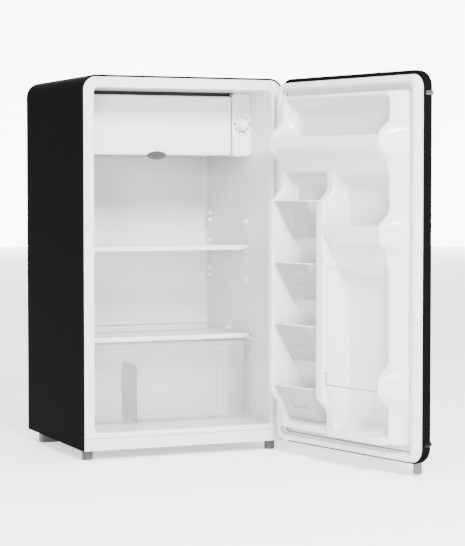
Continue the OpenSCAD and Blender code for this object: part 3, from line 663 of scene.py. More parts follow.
class Workshop:
    """Turns layouts in millimetres into pieces in the row frame, each riding on its body."""

    def __init__(self, frame: dict) -> None:
        """Reads the cabinet's front and the door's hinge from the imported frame.
        """
        low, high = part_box("outer_shell")
        self.front = low.y * 1000
        self.half_w = (high.x - low.x) * 500
        self.top_z = high.z * 1000
        hinge = next(j for j in frame["joints"] if j["name"] == "door_hinge")
        self.pivot = np.array(hinge["pos_m"][:2]) * 1000
        self.turn = math.radians(-hinge["range_deg"][0])
        self.rim = -18.0

    def put(self, points: Array, placing: Placing) -> Array:
        """Moves a layout to the row frame.

        A cabinet point only moves by the cabinet's front. A door point is counted from the rim, moved to
        the front and turned about the hinge by the door's open angle: x' = x cos a - y sin a and
        y' = x sin a + y cos a about the pivot.

        Args:
            points: any array whose last axis is X, Y, Z in millimetres.
            placing: which layout it is.

        Returns:
            The points in metres.
        """
        p = np.array(points, float)
        if placing is Placing.DOOR:
            p[..., 1] += self.rim
        p[..., 1] += self.front
        if placing is Placing.DOOR:
            x, y = p[..., 0] - self.pivot[0], p[..., 1] - self.pivot[1]
            c, s = math.cos(self.turn), math.sin(self.turn)
            p[..., 0], p[..., 1] = self.pivot[0] + x * c - y * s, self.pivot[1] + x * s + y * c
        return p * MM

    def piece(
        self,
        name: str,
        grids: Sequence[tuple[Array, bool, bool]],
        body: str,
        finish_name: str,
        replaces: Sequence[str] = (),
        placing: Placing = Placing.CABINET,
        slot: str = "",
        sharp: float = 40.0,
    ) -> bpy.types.Object:
        """Builds one piece out of closed grids.

        Each grid is (points, wrap rows, wrap columns). A grid whose rows don't join is closed at both ends by
        a fan to the end row's middle. A grid that encloses a negative volume is turned the right way out.

        Args:
            name: the piece's name.
            grids: its grids.
            body: the body it rides on.
            finish_name: its finish.
            replaces: CAD nodes that it stands for.
            placing: which layout its points are in.
            slot: the record's material slot.
            sharp: edges that bend more than this many degrees are shaded as edges.

        Returns:
            The piece.
        """
        verts: list[Array] = []
        quads: list[Array] = []
        fans: list[Array] = []
        base = 0
        for points, wrap_rows, wrap_cols in grids:
            p = self.put(points, placing)
            rows, cols = p.shape[:2]
            flat = p.reshape(-1, 3)
            q = grid_faces(rows, cols, wrap_rows, wrap_cols)
            tri = np.zeros((0, 3), int)
            if not wrap_rows:
                j = np.arange(cols)
                k = (j + 1) % cols
                first, last = rows * cols, rows * cols + 1
                tri = np.concatenate(
                    [
                        np.stack([np.full(cols, first), k, j], 1),
                        np.stack([np.full(cols, last), (rows - 1) * cols + j, (rows - 1) * cols + k], 1),
                    ]
                )
                flat = np.concatenate([flat, p[0].mean(0)[None], p[-1].mean(0)[None]])
            every = np.concatenate([q[:, [0, 1, 2]], q[:, [0, 2, 3]], tri])
            a, b, c = (flat[every[:, n]] for n in range(3))
            if np.einsum("ij,ij->i", a, np.cross(b, c)).sum() < 0:
                q, tri = q[:, ::-1], tri[:, ::-1]
            verts.append(flat)
            quads.append(q + base)
            fans.append(tri + base)
            base += len(flat)
        faces = np.concatenate(quads).tolist() + np.concatenate(fans).tolist()
        return self.hang(name, np.concatenate(verts), faces, body, finish_name, replaces, slot, sharp)

    def hang(
        self,
        name: str,
        points: Array,
        faces: list,
        body: str,
        finish_name: str,
        replaces: Sequence[str],
        slot: str,
        sharp: float,
    ) -> bpy.types.Object:
        """Makes a mesh's object, hangs it on its body and dresses it.

        Args:
            name: the piece's name.
            points: its points in metres.
            faces: its faces.
            body: the body it rides on.
            finish_name: its finish.
            replaces: CAD nodes that it stands for.
            slot: the record's material slot, or nothing; not used.
            sharp: edges that bend more than this many degrees are shaded as edges.

        Returns:
            The piece.
        """
        mesh = bpy.data.meshes.new(name)
        mesh.from_pydata(points.tolist(), [], faces)
        mesh.validate()
        mesh.shade_smooth()
        mesh.set_sharp_from_angle(angle=math.radians(sharp))
        thing = bpy.data.objects.new(name, mesh)
        bpy.context.scene.collection.objects.link(thing)
        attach(thing, body)
        if replaces:
            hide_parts(*replaces)
        return dress(thing, finish_name)


# ---------------------------------------------------------------- the cabinet


@dataclass
class Cabinet:
    """The black cabinet, its white lining and what stands in it."""

    shop: Workshop
    side_wall: float = 28.0
    sill_z: float = 60.0
    ceiling_z: float = 803.0
    back_y: float = 383.0
    step_y: float = 225.0
    step_z: float = 220.0
    hem: float = 4.0
    kick_z: float = 48.0
    opening_r: float = 11.0
    nose: float = 14.0
    lift_fades_over: float = 371.0
    peg_rows: tuple[float, ...] = (518.0, 452.0, 386.0)
    peg_front_y: float = 140.0
    peg_back_y: float = 357.0
    peg_offset: float = 8.3
    low_peg: tuple[float, float] = (242.0, 258.3)
    ledge_spans: tuple[tuple[float, float], ...] = ((72.0, 152.0), (303.0, 383.0))
    ledge_z: tuple[float, float] = (242.0, 248.0)

    def stepped(self, opening: Outline, profile: Array, off: float) -> Array:
        """A wall profile carried round the opening, with its floor lifted over the compressor.

        The riser stands at step_y and turns into the step's top by a round nose: at angle a its depth is
        nose (1 - cos a) past the riser and its height nose sin a over its end. A point at height z takes
        the share 1 - (z - sill) / lift_fades_over of the lift, so that the ceiling stays.

        Args:
            opening: the opening's outline.
            profile: pairs of inset and depth, from front to back.
            off: how far outside the inner face this pass runs.

        Returns:
            Rows by columns of points.
        """
        nose = self.nose
        rise_by = self.step_z - self.sill_z
        a = np.linspace(0, math.pi / 2, 8)
        depth = self.step_y + off + nose * (1 - np.cos(a))
        lifts = (rise_by - nose + nose * np.sin(a) - off) / rise_by
        before = profile[profile[:, 1] < self.step_y]
        behind = profile[profile[:, 1] >= self.step_y]
        middle = np.column_stack([np.full(9, -off), np.concatenate([[depth[0]], depth])])
        lift = np.concatenate([np.zeros(len(before) + 1), lifts, np.full(len(behind), lifts[-1])])
        grid = carried(opening, np.concatenate([before, middle, behind]))
        share = 1 - np.clip((grid[..., 2] - self.sill_z) / self.lift_fades_over, 0, 1)
        grid[..., 2] += rise_by * lift[:, None] * share
        return grid

    def build_lining(self) -> bpy.types.Object:
        """The white lining: flange, soft opening edge, walls and back, as one closed skin.

        The profile runs (inset, depth) from the middle of the back wall, round a 10 mm fillet, forward along
        the walls, round a 3 mm edge and out over the flange; a second pass 1.5 mm outside it goes back. Both
        passes climb over the compressor's step. The flange's rings belong to the cabinet's outline and the
        rest to the opening's, point for point.

        Returns:
            The piece.
        """
        half = self.shop.half_w
        outer = Outline(-half + self.hem, half - self.hem, self.kick_z, self.shop.top_z - self.hem, 29, 0.6)
        wall = half - self.side_wall
        opening = Outline(-wall, wall, self.sill_z, self.ceiling_z, self.opening_r, self.opening_r)
        inner = curve([(120, self.back_y), (0, self.back_y), (0, 0.05), (-9, 0.05)], [10.0, 3.0], 6)
        back = curve([(-1.5, 2.4), (-1.5, self.back_y + 1.5), (120, self.back_y + 1.5)], [11.5], 6)
        flange = carried(outer, np.array([(2.0, 0.05), (0.6, 0.05), (0.0, 0.6), (0.0, 2.4)]))
        inside = self.stepped(opening, inner[::-1], 0.0)[::-1]
        grid = np.concatenate([inside, flange, self.stepped(opening, back, 1.5)])
        return self.shop.piece(
            "lining", [(grid, False, True)], "cabinet", "white_lining", ["cabinet_liner"],
            slot="liner_plastic",
        )

    def build_gutter(self) -> bpy.types.Object:
        """The drip gutter along the foot of the back wall, run from wall to wall.

        Returns:
            The piece.
        """
        wall = self.shop.half_w - self.side_wall + 0.6
        lip = curve([(378, 262), (378, 270), (384, 270)], [2.0], 4)
        ring = np.concatenate([lip, [(384, 262)]])
        strip = run([(x, ring) for x in (-wall, 0.0, wall)])
        return self.shop.piece("lining_gutter", [(strip, False, True)], "cabinet", "white_lining")

    def build_pegs(self) -> bpy.types.Object:
        """Shelf pegs on both walls: each a stub whose radius swells a little towards the wall.

        Returns:
            The piece.
        """
        grids = []
        wall = self.shop.half_w - self.side_wall
        spots = []
        front, back, off = self.peg_front_y, self.peg_back_y, self.peg_offset
        for z in self.peg_rows:
            spots += [(front, z - off), (back, z - off), (back, z + off)]
        spots.append(self.low_peg)
        for side in (-1, 1):
            for y, z in spots:
                out = np.array([(7.2, 0.0), (6.3, 1.6), (5.9, 4.0), (5.7, 8.3), (5.1, 9.0)])
                a = np.linspace(0, 2 * math.pi, 28, endpoint=False)
                x = side * (wall + 0.4 - out[:, 1][:, None]) + 0 * a
                ring_y = y + out[:, 0][:, None] * np.cos(a)
                ring_z = z + out[:, 0][:, None] * np.sin(a)
                grids.append((np.stack([x, ring_y, ring_z], -1), False, True))
            for y0, y1 in self.ledge_spans:
                line = Outline(y0, y1, *self.ledge_z, 1.2, 2.5, 4)
                ledge = [(side * (wall - out), line.ring(i)) for out, i in ((-0.5, 0), (8.4, 0), (9.0, 0.5))]
                grids.append((run(ledge), False, True))
        return self.shop.piece("shelf_pegs", grids, "cabinet", "white_moulding")

    def build_lines(self) -> bpy.types.Object:
        """The dark parting line over the kick strip, a flattened bead run across the front.

        Returns:
            The piece.
        """
        half = self.shop.half_w - self.hem - 0.4
        section = Outline(-0.12, 1.2, self.kick_z - 0.45, self.kick_z + 0.45, 0.3, 0.3, 3).ring(0)
        grid = run([(x, section) for x in (-half, 0.0, half)])
        return self.shop.piece("kick_parting", [(grid, False, True)], "cabinet", "parting_line")

    def build_wall_step(self) -> bpy.types.Object:
        """A fine moulded step on the right wall beside the thermostat, 0.7 mm proud.

        Returns:
            The piece.
        """
        wall = self.shop.half_w - self.side_wall
        edge = Outline(8.0, 74.0, 667.2, 669.0, 0.7, 0.7, 3)
        grid = run([(x, edge.ring(i)) for x, i in ((wall + 0.4, 0), (wall - 0.4, 0), (wall - 0.7, 0.4))])
        return self.shop.piece("wall_step", [(grid, False, True)], "cabinet", "white_moulding")

    def build(self) -> int:
        """Builds the lining and its details.

        Returns:
            How many pieces were built.
        """
        makers = (self.build_lining, self.build_gutter, self.build_pegs, self.build_lines)
        return len([make() for make in (*makers, self.build_wall_step)])


@dataclass
class IceCompartment:
    """The flap, its grip, the thermostat housing and its knob."""

    shop: Workshop
    flap_x0: float = -200.0
    flap_x1: float = 160.5
    flap_z0: float = 657.0
    flap_z1: float = 794.0
    flap_y: float = 115.0
    grip_x: float = -21.0
    knob_r: float = 15.0

    def knob_centre(self) -> tuple[float, float]:
        """The knob's centre in X and Z, from its CAD node."""
        low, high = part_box("thermostat_knob")
        return (low.x + high.x) * 500, (low.z + high.z) * 500

    def build_flap(self) -> bpy.types.Object:
        """The flap: a rounded panel whose face bows out 2 mm and whose lower edge sags in the middle.

        Depth at (x, z) is flap_y + edge(inset) + 2 ((x - middle) / half)^2, so that the face is fullest at
        the middle. The lower edge lifts by 3.6 ((x - middle) / half)^2 towards its ends.

        Returns:
            The piece.
        """
        shape = Outline(self.flap_x0, self.flap_x1, self.flap_z0, self.flap_z1, 5, 7, 10)
        profile = curve([(8, 11.0), (8, 13.9), (0.0, 13.9), (0.0, 0.0), (12, 0.0)], [0.5, 1.5, 5.0], 6)
        steps = [(r, 0.0) for r in np.linspace(16, 66, 14)]
        inner = [(r, 11.0) for r in np.linspace(66, 14, 4)]
        grid = carried(shape, np.concatenate([inner, profile, steps]))
        middle = (self.flap_x0 + self.flap_x1) / 2
        half = (self.flap_x1 - self.flap_x0) / 2
        bow = 2.0 * ((grid[..., 0] - middle) / half) ** 2 * (grid[..., 1] < 6)
        low = np.clip((self.flap_z0 + 22 - grid[..., 2]) / 22, 0, 1) ** 2 * 2.2 * (grid[..., 1] < 6)
        grid[..., 1] += self.flap_y + bow + low
        lift = 3.6 * ((grid[..., 0] - middle) / half) ** 2
        tall = self.flap_z1 - self.flap_z0
        grid[..., 2] += lift * np.clip((self.flap_z1 - grid[..., 2]) / tall, 0, 1) ** 3
        pins = [
            (tube(np.array([[x0, 122.0, 787.0], [x1, 122.0, 787.0]]), 2.5, 16), False, True)
            for x0, x1 in ((-206.0, -198.5), (159.5, 164.5))
        ]
        return self.shop.piece(
            "flap_panel", [(grid, False, True), *pins], "flap", "white_moulding", ["ice_flap"],
            slot="flap_plastic",
        )

    def build_grip(self) -> bpy.types.Object:
        """The lens-shaped grip: two arcs that meet at points, with a raised rim 0.4 mm high.

        The outline is x = w sin t, z = h |cos t|^1.25 with the sign of cos t, for t round a full turn.

        Returns:
            The piece.
        """
        t = np.linspace(0, 2 * math.pi, 72, endpoint=False)
        shape_x, shape_z = np.sin(t), np.sign(np.cos(t)) * np.abs(np.cos(t)) ** 1.25
        rows = [(1.0, 7.0), (1.0, 0.9), (0.985, 0.5), (0.94, 0.5), (0.92, 0.9)]
        rows += [(0.86, 1.1), (0.5, 1.2), (0.1, 1.2)]
        grid = np.stack(
            [
                np.stack([self.grip_x + 22.8 * k * shape_x, np.full(72, 115 + d), 660 + 9.4 * k * shape_z], 1)
                for k, d in rows
            ]
        )
        return self.shop.piece(
            "flap_grip", [(grid, False, True)], "flap", "grip_grey_and_seal_shadow", ["ice_flap_grip"], slot="grip_plastic"
        )

    def build_housing(self) -> bpy.types.Object:
        """The thermostat housing: a rounded box with its printed ticks round the knob and a painted shadow
        under it.

        Returns:
            The piece.
        """
        x, z = self.knob_centre()
        # the housing's finish holds the printed ticks and a painted shadow under the knob
        FINISHES["dial_scale_and_knob_shadow"] = DialPrintAndShadowFinish(
            "dial_scale_and_knob_shadow", (0.7, 0.7, 0.698), 0.012, 0.34, 0.05, middle=(x * MM, z * MM), radius=0.0158
        )
        shape = Outline(162.2, 207.8, 659.0, 802.6, 9, 9, 8)
        grid = carried(shape, curve([(14, 45.9), (0, 45.9), (0, 0.05), (14, 0.05)], [1.0, 2.5], 5))
        grid[..., 1] += self.flap_y
        return self.shop.piece(
            "thermostat_front", [(grid, False, True)], "cabinet", "dial_scale_and_knob_shadow", ["control_housing"],
            slot="flap_plastic",
        )

    def build_knob(self) -> bpy.types.Object:
        """The knob: a turned disc with a pointer, its side fluted by r = r0 (1 - 0.045 (1 + cos 24 a) / 2).

        Returns:
            The piece.
        """
        x, z = self.knob_centre()
        foot = self.knob_r
        profile = curve(
            [(0.4, -0.5), (foot, -0.5), (foot, -4.0), (12.4, -4.6), (11.4, -12.3), (0.4, -12.3)],
            [0.6, 1.0, 0.6, 1.6], 5,
        )
        grid = lathe(profile, (x, self.flap_y, z), 1, 144)
        a = np.arctan2(grid[..., 2] - z, grid[..., 0] - x)
        depth = grid[..., 1] - self.flap_y
        flute = 1 - 0.045 * 0.5 * (1 + np.cos(24 * a)) * (depth < -4.4) * (depth > -11.6)
        grid[..., 0] = x + (grid[..., 0] - x) * flute
        grid[..., 2] = z + (grid[..., 2] - z) * flute
        mark = Outline(x - 0.9, x + 0.9, z + 3.5, z + 10.5, 0.8, 0.8, 4)
        pointer = carried(mark, np.array([(0.0, -12.0), (0.0, -12.45), (0.25, -12.5)]))
        pointer[..., 1] += self.flap_y
        return self.shop.piece(
            "knob_cap", [(grid, False, True), (pointer, False, True)], "knob", "white_moulding",
            ["thermostat_knob"], slot="knob_plastic",
        )

    def build(self) -> int:
        """Builds the compartment's pieces.

        Returns:
            How many pieces were built.
        """
        return len([self.build_flap(), self.build_grip(), self.build_housing(), self.build_knob()])


@dataclass
class Shelving:
    """Two glass shelves with moulded front trims, and the clear drawer with its divider."""

    shop: Workshop
    half: float = 205.0
    front: float = 118.0
    upper_z: float = 452.0
    lower_z: float = 250.0

    def build_trim(self, name: str, body: str, z: float) -> bpy.types.Object:
        """A trim: a soft D-shaped profile in Y and Z, run across the shelf, with a lip under it.

        Args:
            name: the shelf's name.
            body: the body it rides on.
            z: the height of the glass.

        Returns:
            The piece.
        """
        bar = Outline(self.front, self.front + 8.9, z - 1.98, z + 4.9, 2.2, 1.2, 6)
        lip = Outline(self.front + 0.4, self.front + 8, z - 5.9, z + 1.0, 1.2, 2.0, 6)
        grids = []
        for shape, half in ((bar, self.half), (lip, self.half - 9.5)):
            ends = ((-half, 0.8), (-half + 0.8, 0.0), (half - 0.8, 0.0), (half, 0.8))
            grids.append((run([(x, shape.ring(inset)) for x, inset in ends]), False, True))
        return self.shop.piece(
            name + "_edge", grids, body, "white_moulding", [name + "_trim"], slot="trim_plastic"
        )

    def build_drawer(self) -> bpy.types.Object:
        """The drawer: a clear box whose wall profile goes down outside, under the floor and back up inside.

        Rings are level cuts of the box: a rectangle in X and Y with 8 mm corners that narrows 3 mm towards
        the floor. Two raised frames stand on the front wall, and a pull runs along its upper edge.

        Returns:
            The piece.
        """
        low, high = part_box("crisper_drawer")
        x0, x1 = low.x * 1000, high.x * 1000
        y0, y1 = low.y * 1000 - self.shop.front + 3, high.y * 1000 - self.shop.front
        z0, z1 = low.z * 1000, high.z * 1000
        outer = curve([(1.2, z1), (0.0, z1 - 9), (3.5, z0 + 10), (9.0, z0), (46.0, z0)], [0.8, 6.0, 7.0], 5)
        inner = curve([(46.0, z0 + 2.4), (11.4, z0 + 2.4), (5.9, z0 + 11), (2.6, z1 - 9), (3.4, z1)],
                      [7.0, 6.0, 0.8], 5)
        profile = np.concatenate([inner, outer])
        shape = Outline(x0, x1, y0, y1, 8, 8, 8)
        rings = [shape.ring(float(i)) for i, _ in profile]
        grid = np.stack([np.column_stack([r, np.full(len(r), z)]) for r, z in zip(rings, profile[:, 1])])
        lip = Outline(x0 + 4, x1 - 4, z1 - 9, z1 - 4, 2.4, 2.4, 6)
        handle = carried(lip, np.array([(0.0, 0.8), (0.0, -1.6), (0.7, -2.6), (1.6, -2.95)]))
        handle[..., 1] += y0
        frames = []
        for a, b in ((x0 + 14, 128.0), (138.0, x1 - 14)):
            bead = Outline(a, b, z0 + 16, z1 - 18, 7, 7, 8)
            ring = carried(bead, curve([(0, 3.0), (0, 1.2), (1.6, 1.2), (1.6, 3.0)], [0.7, 0.7], 4))
            ring[..., 1] += y0 + 0.6
            frames.append((ring, True, True))
        return self.shop.piece(
            "drawer_box", [(grid, False, True), (handle, False, True), *frames], "drawer", "drawer_clear",
            ["crisper_drawer"], slot="crisper_plastic", sharp=50.0,
        )

    def build_divider(self) -> bpy.types.Object:
        """The drawer's divider: one flat upright of thin clear sheet with rounded upper corners.

        Returns:
            The piece.
        """
        low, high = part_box("crisper_divider")
        z0, z1 = low.z * 1000, high.z * 1000
        y0, y1 = low.y * 1000 - self.shop.front, high.y * 1000 - self.shop.front
        x0 = low.x * 1000
        side = Outline(y0, y1, z0, z1, 10, 1, 8)
        wall = run([(x0 + out, side.ring(i)) for out, i in ((0, 0.4), (0.4, 0), (1.6, 0), (2, 0.4))])
        # the divider's dark grey finish paints shade along its edges
        return self.shop.piece(
            "drawer_divider", [(wall, False, True)], "drawer", "divider_clear_painted_edge_shade", ["crisper_divider"],
            slot="crisper_plastic",
        )

    def build(self) -> int:
        """Builds trims, drawer and divider.

        Returns:
            How many pieces were built.
        """
        made = [
            self.build_trim("upper_shelf", "upper_shelf_unit", self.upper_z),
            self.build_trim("lower_shelf", "lower_shelf_unit", self.lower_z),
            self.build_drawer(),
            self.build_divider(),
        ]
        return len(made)


# ---------------------------------------------------------------- the door


def rise(v: Array, a: float, b: float) -> Array:
    """Goes from 0 at a to 1 at b on the smooth curve 3t^2 - 2t^3."""
    t = np.clip((v - a) / (b - a), 0, 1)
    return t * t * (3 - 2 * t)


def hump(v: Array, low: float, high: float, ease: float) -> Array:
    """One between low and high, easing to nought over the ease outside them."""
    return rise(v, low - ease, low) * (1 - rise(v, high, high + ease))


def inside(x: Array, z: Array, x0: float, x1: float, z0: float, z1: float, r: float) -> Array:
    """How far a point lies inside a rounded rectangle, negative outside.

    With q the point's distance past each inner edge, it is r - |max(q, 0)| - min(max(qx, qz), 0).

    Args:
        x: X in millimetres.
        z: Z in millimetres.
        x0: left edge.
        x1: right edge.
        z0: lower edge.
        z1: upper edge.
        r: corner radius.

    Returns:
        The distance at each point.
    """
    qx = np.abs(x - (x0 + x1) / 2) - (x1 - x0) / 2 + r
    qz = np.abs(z - (z0 + z1) / 2) - (z1 - z0) / 2 + r
    return r - np.hypot(np.maximum(qx, 0), np.maximum(qz, 0)) - np.minimum(np.maximum(qx, qz), 0)


@dataclass
class DoorLining:
    """The white moulded lining of the door, as heights over its rim."""

    shop: Workshop
    low: float = 32.0
    high: float = 62.0
    free_x: float = -164.0
    hinge_x: float = 185.0
    divider: tuple[float, float] = (14.0, 35.0)

    def swell(self, x: Array, z: Array) -> Array:
        """How far each upright has swollen from its low to its high height, from nought to one.

        Args:
            x: X in millimetres.
            z: Z in millimetres.

        Returns:
            From nought to one at each point.
        """
        free = np.maximum.reduce(
            [hump(z, 672, 698, 36), hump(z, 482, 508, 36), hump(z, 170, 194, 38)]
        ) * (1 - rise(x, self.free_x, self.free_x + 34))
        can = hump(z, 150, 546, 46)
        hinge = np.maximum(hump(z, 672, 698, 36), can) * rise(x, self.hinge_x - 34, self.hinge_x)
        mid = can * hump(x, self.divider[0] - 2, self.divider[1] + 2, 16)
        return np.maximum.reduce([free, hinge, mid])

    def pocket(self, x: Array, z: Array, box: tuple[float, ...], cove: float) -> Array:
        """How much of the lining's height is left in one compartment.

        It is one at the compartment's edge and falls with distance d inside it as
        (1 - d / cove)^3 after a 2 mm rounded shoulder.

        Args:
            x: X in millimetres.
            z: Z in millimetres.
            box: the compartment's edges and corner radius.
            cove: how wide its hollow edge is.

        Returns:
            The share of the height at each point.
        """
        d = inside(x, z, *box)
        t = np.clip((d - 1.0) / cove, 0, 1)
        return (1 - rise(d, -1.6, 2.4) * 0.12) * (1 - t) ** 3.0 * (d > -1.6) + (d <= -1.6)

    def heights(self, x: Array, z: Array) -> Array:
        """Height over the rim at each point.

        A block with rounded corners, (low + (high - low) * swell), falls to the rim by a steep draft at the
        hinge side, top and bottom and by a long slope at the free side. Each compartment multiplies that
        height by its pocket. A 2 mm floor is left in the compartments.

        Args:
            x: X in millimetres.
            z: Z in millimetres.

        Returns:
            The height at each point.
        """
        edge = inside(x, z, -213, 205, 57, 791, 26)
        block = rise(edge, 0.0, 6.5)
        slope = 0.1 + 0.9 * rise(x, -212, -161) ** 0.8
        slope = np.minimum(slope, 1) * rise(x, -214, -209)
        rib = 1.6 * hump(x, -199.0, -197.0, 3.5) * hump(z, 125, 705, 8)
        height = (self.low + (self.high - self.low) * self.swell(x, z)) * slope
        left = np.ones_like(x)
        for box, cove in (
            ((self.free_x, self.hinge_x, 632, 779, 14), 36.0),
            ((self.divider[1], self.hinge_x, 76, 622, 13), 26.0),
            ((self.free_x, self.divider[0], 436, 622, 14), 34.0),
            ((self.free_x, self.divider[0], 74, 425.5, 15), 34.0),
        ):
            left = np.minimum(left, self.pocket(x, z, box, cove))
        open_floor = rise(edge, 8.0, 14.0)
        return block * np.maximum(height * left, 2.0 * open_floor) + rib * rise(edge, 2, 8)

    def lines(self, start: float, stop: float, edges: Sequence[float], coarse: float, fine: float) -> Array:
        """Grid lines: coarse everywhere and fine within 9 mm of each edge.

        Args:
            start: the first line.
            stop: the last line.
            edges: where the lines stand closer.
            coarse: their usual spacing.
            fine: their spacing near an edge.

        Returns:
            The lines in order.
        """
        parts = [np.arange(start, stop + 0.01, coarse), [stop]]
        parts += [np.arange(e - 9, e + 9.01, fine) for e in edges]
        every = np.unique(np.round(np.concatenate(parts), 2))
        every = every[(every >= start) & (every <= stop)]
        keep = np.concatenate([[True], np.diff(every) > 0.45])
        keep[-1] = True
        return every[keep]

    def build_face(self) -> bpy.types.Object:
        """The lining's face as a closed slab: heights in front and a flat back 2 mm behind the rim.

        Returns:
            The piece.
        """
        xs = self.lines(-219, 219, (-211, -164, 14, 35, 185, 201), 3.6, 1.3)
        zs = self.lines(42, 808, (60, 76, 425, 436, 622, 632, 779, 788), 3.8, 1.3)
        x, z = np.meshgrid(xs, zs)
        front = np.stack([x, self.heights(x, z) + 0.02, z], -1)
        back = np.stack([x, np.full_like(x, -2.0), z], -1)
        low = np.concatenate([back[0], back[1:-1, -1], back[-1, ::-1], back[-2:0:-1, 0]])
        rows, cols = x.shape
        quads = grid_faces(rows, cols, False, False)
        i = np.arange(rows * cols).reshape(rows, cols)
        edge = np.concatenate([i[0], i[1:-1, -1], i[-1, ::-1], i[-2:0:-1, 0]])
        n = len(edge)
        j = np.arange(n)
        base = rows * cols
        skirt = np.stack([edge, base + j, base + (j + 1) % n, edge[(j + 1) % n]], 1)
        points = np.concatenate([front.reshape(-1, 3), low, low.mean(0)[None]])
        fan = np.stack([np.full(n, base + n), base + (j + 1) % n, base + j], 1)
        placed = self.shop.put(points, Placing.DOOR)
        sides = np.concatenate([quads, skirt])
        every = np.concatenate([sides[:, [0, 1, 2]], sides[:, [0, 2, 3]], fan])
        a, b, c = (placed[every[:, k]] for k in range(3))
        if np.einsum("ij,ij->i", a, np.cross(b, c)).sum() < 0:
            quads, skirt, fan = quads[:, ::-1], skirt[:, ::-1], fan[:, ::-1]
        faces = quads.tolist() + skirt.tolist() + fan.tolist()
        return self.shop.hang(
            "door_lining", placed, faces, "door", "white_lining", ["door_liner"], "liner_plastic", 60.0
        )

    def build_rim(self) -> bpy.types.Object:
        """The flat rim round the lining, under the seal.

        Returns:
            The piece.
        """
        shape = Outline(-233, 233, 28, 819, 30, 30, 12)
        grid = carried(shape, curve([(26, -2.4), (0, -2.4), (0, -0.05), (26, -0.05)], [0.8, 0.8], 4))
        return self.shop.piece("door_rim", [(grid, True, True)], "door", "white_lining", placing=Placing.DOOR)

    def tub(self, x0: float, x1: float, root: float, lip: float, top: float) -> tuple[Array, bool, bool]:
        """One moulded shelf: a profile in depth and height, run across the door.

        Outside, it climbs from its root in a hollow curve to a 24 mm band, and inside it comes down to a
        rounded floor, so that things stand in it.

        Args:
            x0: left edge.
            x1: right edge.
            root: the height it grows from.
            lip: the band's lower height.
            top: the band's upper height.

        Returns:
            The grid, and how it is joined.
        """
        hi = self.high - 0.6
        outer = curve(
            [(0.5, root), (self.low + 0.6, root), (self.low + 4, root + 7), (44, lip - 14), (hi - 5, lip - 3),
             (hi - 1.5, lip - 1), (hi, lip), (hi, top), (hi - 3, top)],
            [1.5, 6, 14, 6, 0.6, 1.6, 1.4], 5,
        )
        inner = curve(
            [(hi - 3, top - 0.4), (hi - 3.2, lip + 2), (40, lip - 10), (self.low, root + 16),
             (3, root + 15), (2.6, top - 1), (0.5, top)],
            [6, 8, 8, 5, 1], 5,
        )
        ring = np.concatenate([outer, inner])
        return run([(x, ring) for x in np.linspace(x0, x1, 16)]), False, True

    def build_insulation(self) -> bpy.types.Object:
        """The insulation between skin and lining: the door's rounded block, 2 mm inside its outline.

        Returns:
            The piece.
        """
        half = self.shop.half_w
        shape = Outline(-half + 2.0, half - 2.0, 27.0, 825.0, 31, 31, 12)
        a = np.linspace(0, math.pi / 2, 8)
        edge = np.column_stack([14 * (1 - np.cos(a)), -13.0 - 14 * np.sin(a)])
        profile = np.concatenate([[(60.0, -2.6), (0.0, -2.6)], edge, [(60.0, -27.0)]])
        return self.shop.piece(
            "door_insulation", [(carried(shape, profile), False, True)], "door", "foam_cream",
            ["door_foam"], Placing.DOOR, slot="foam",
        )

    def build_tubs(self) -> bpy.types.Object:
        """The two moulded shelves.

        Returns:
            The piece.
        """
        grids = [
            self.tub(self.free_x - 3, self.hinge_x + 3, 624.0, 673.5, 697.5),
            self.tub(self.free_x - 3, self.divider[0] + 3, 428.0, 488.0, 509.5),
        ]
        return self.shop.piece("door_shelves", grids, "door", "white_lining", placing=Placing.DOOR)

    def build_floor(self) -> bpy.types.Object:
        """The bottle floor: a rounded tongue at the foot of the door, with two low ribs on it.

        Returns:
            The piece.
        """
        tongue = curve([(1, 61), (44, 61), (52, 66), (54, 77), (40, 78), (1, 78)], [6, 7, 3, 3], 5)
        xs = np.array([-161.0, -156, -148, -136, 0, 14, 30])
        pull = np.array([0.72, 0.86, 0.95, 1.0, 1.0, 1.0, 0.8])
        grids = [(run([(x, tongue * (k, 1.0)) for x, k in zip(xs, pull)]), False, True)]
        for x in (-94.0, -58.0):
            rib = Outline(x - 2.5, x + 2.5, 76.5, 80.5, 1.8, 0.5, 4).ring(0)
            cuts = [np.column_stack([rib[:, 0], np.full(len(rib), d), rib[:, 1]]) for d in (4, 24, 46, 51)]
            grids.append((np.stack(cuts), False, True))
        return self.shop.piece("door_floor", grids, "door", "white_lining", placing=Placing.DOOR)

    def build(self) -> int:
        """Builds the lining's pieces.

        Returns:
            How many pieces were built.
        """
        makers = (self.build_face, self.build_rim, self.build_insulation, self.build_tubs, self.build_floor)
        return len([make() for make in makers])


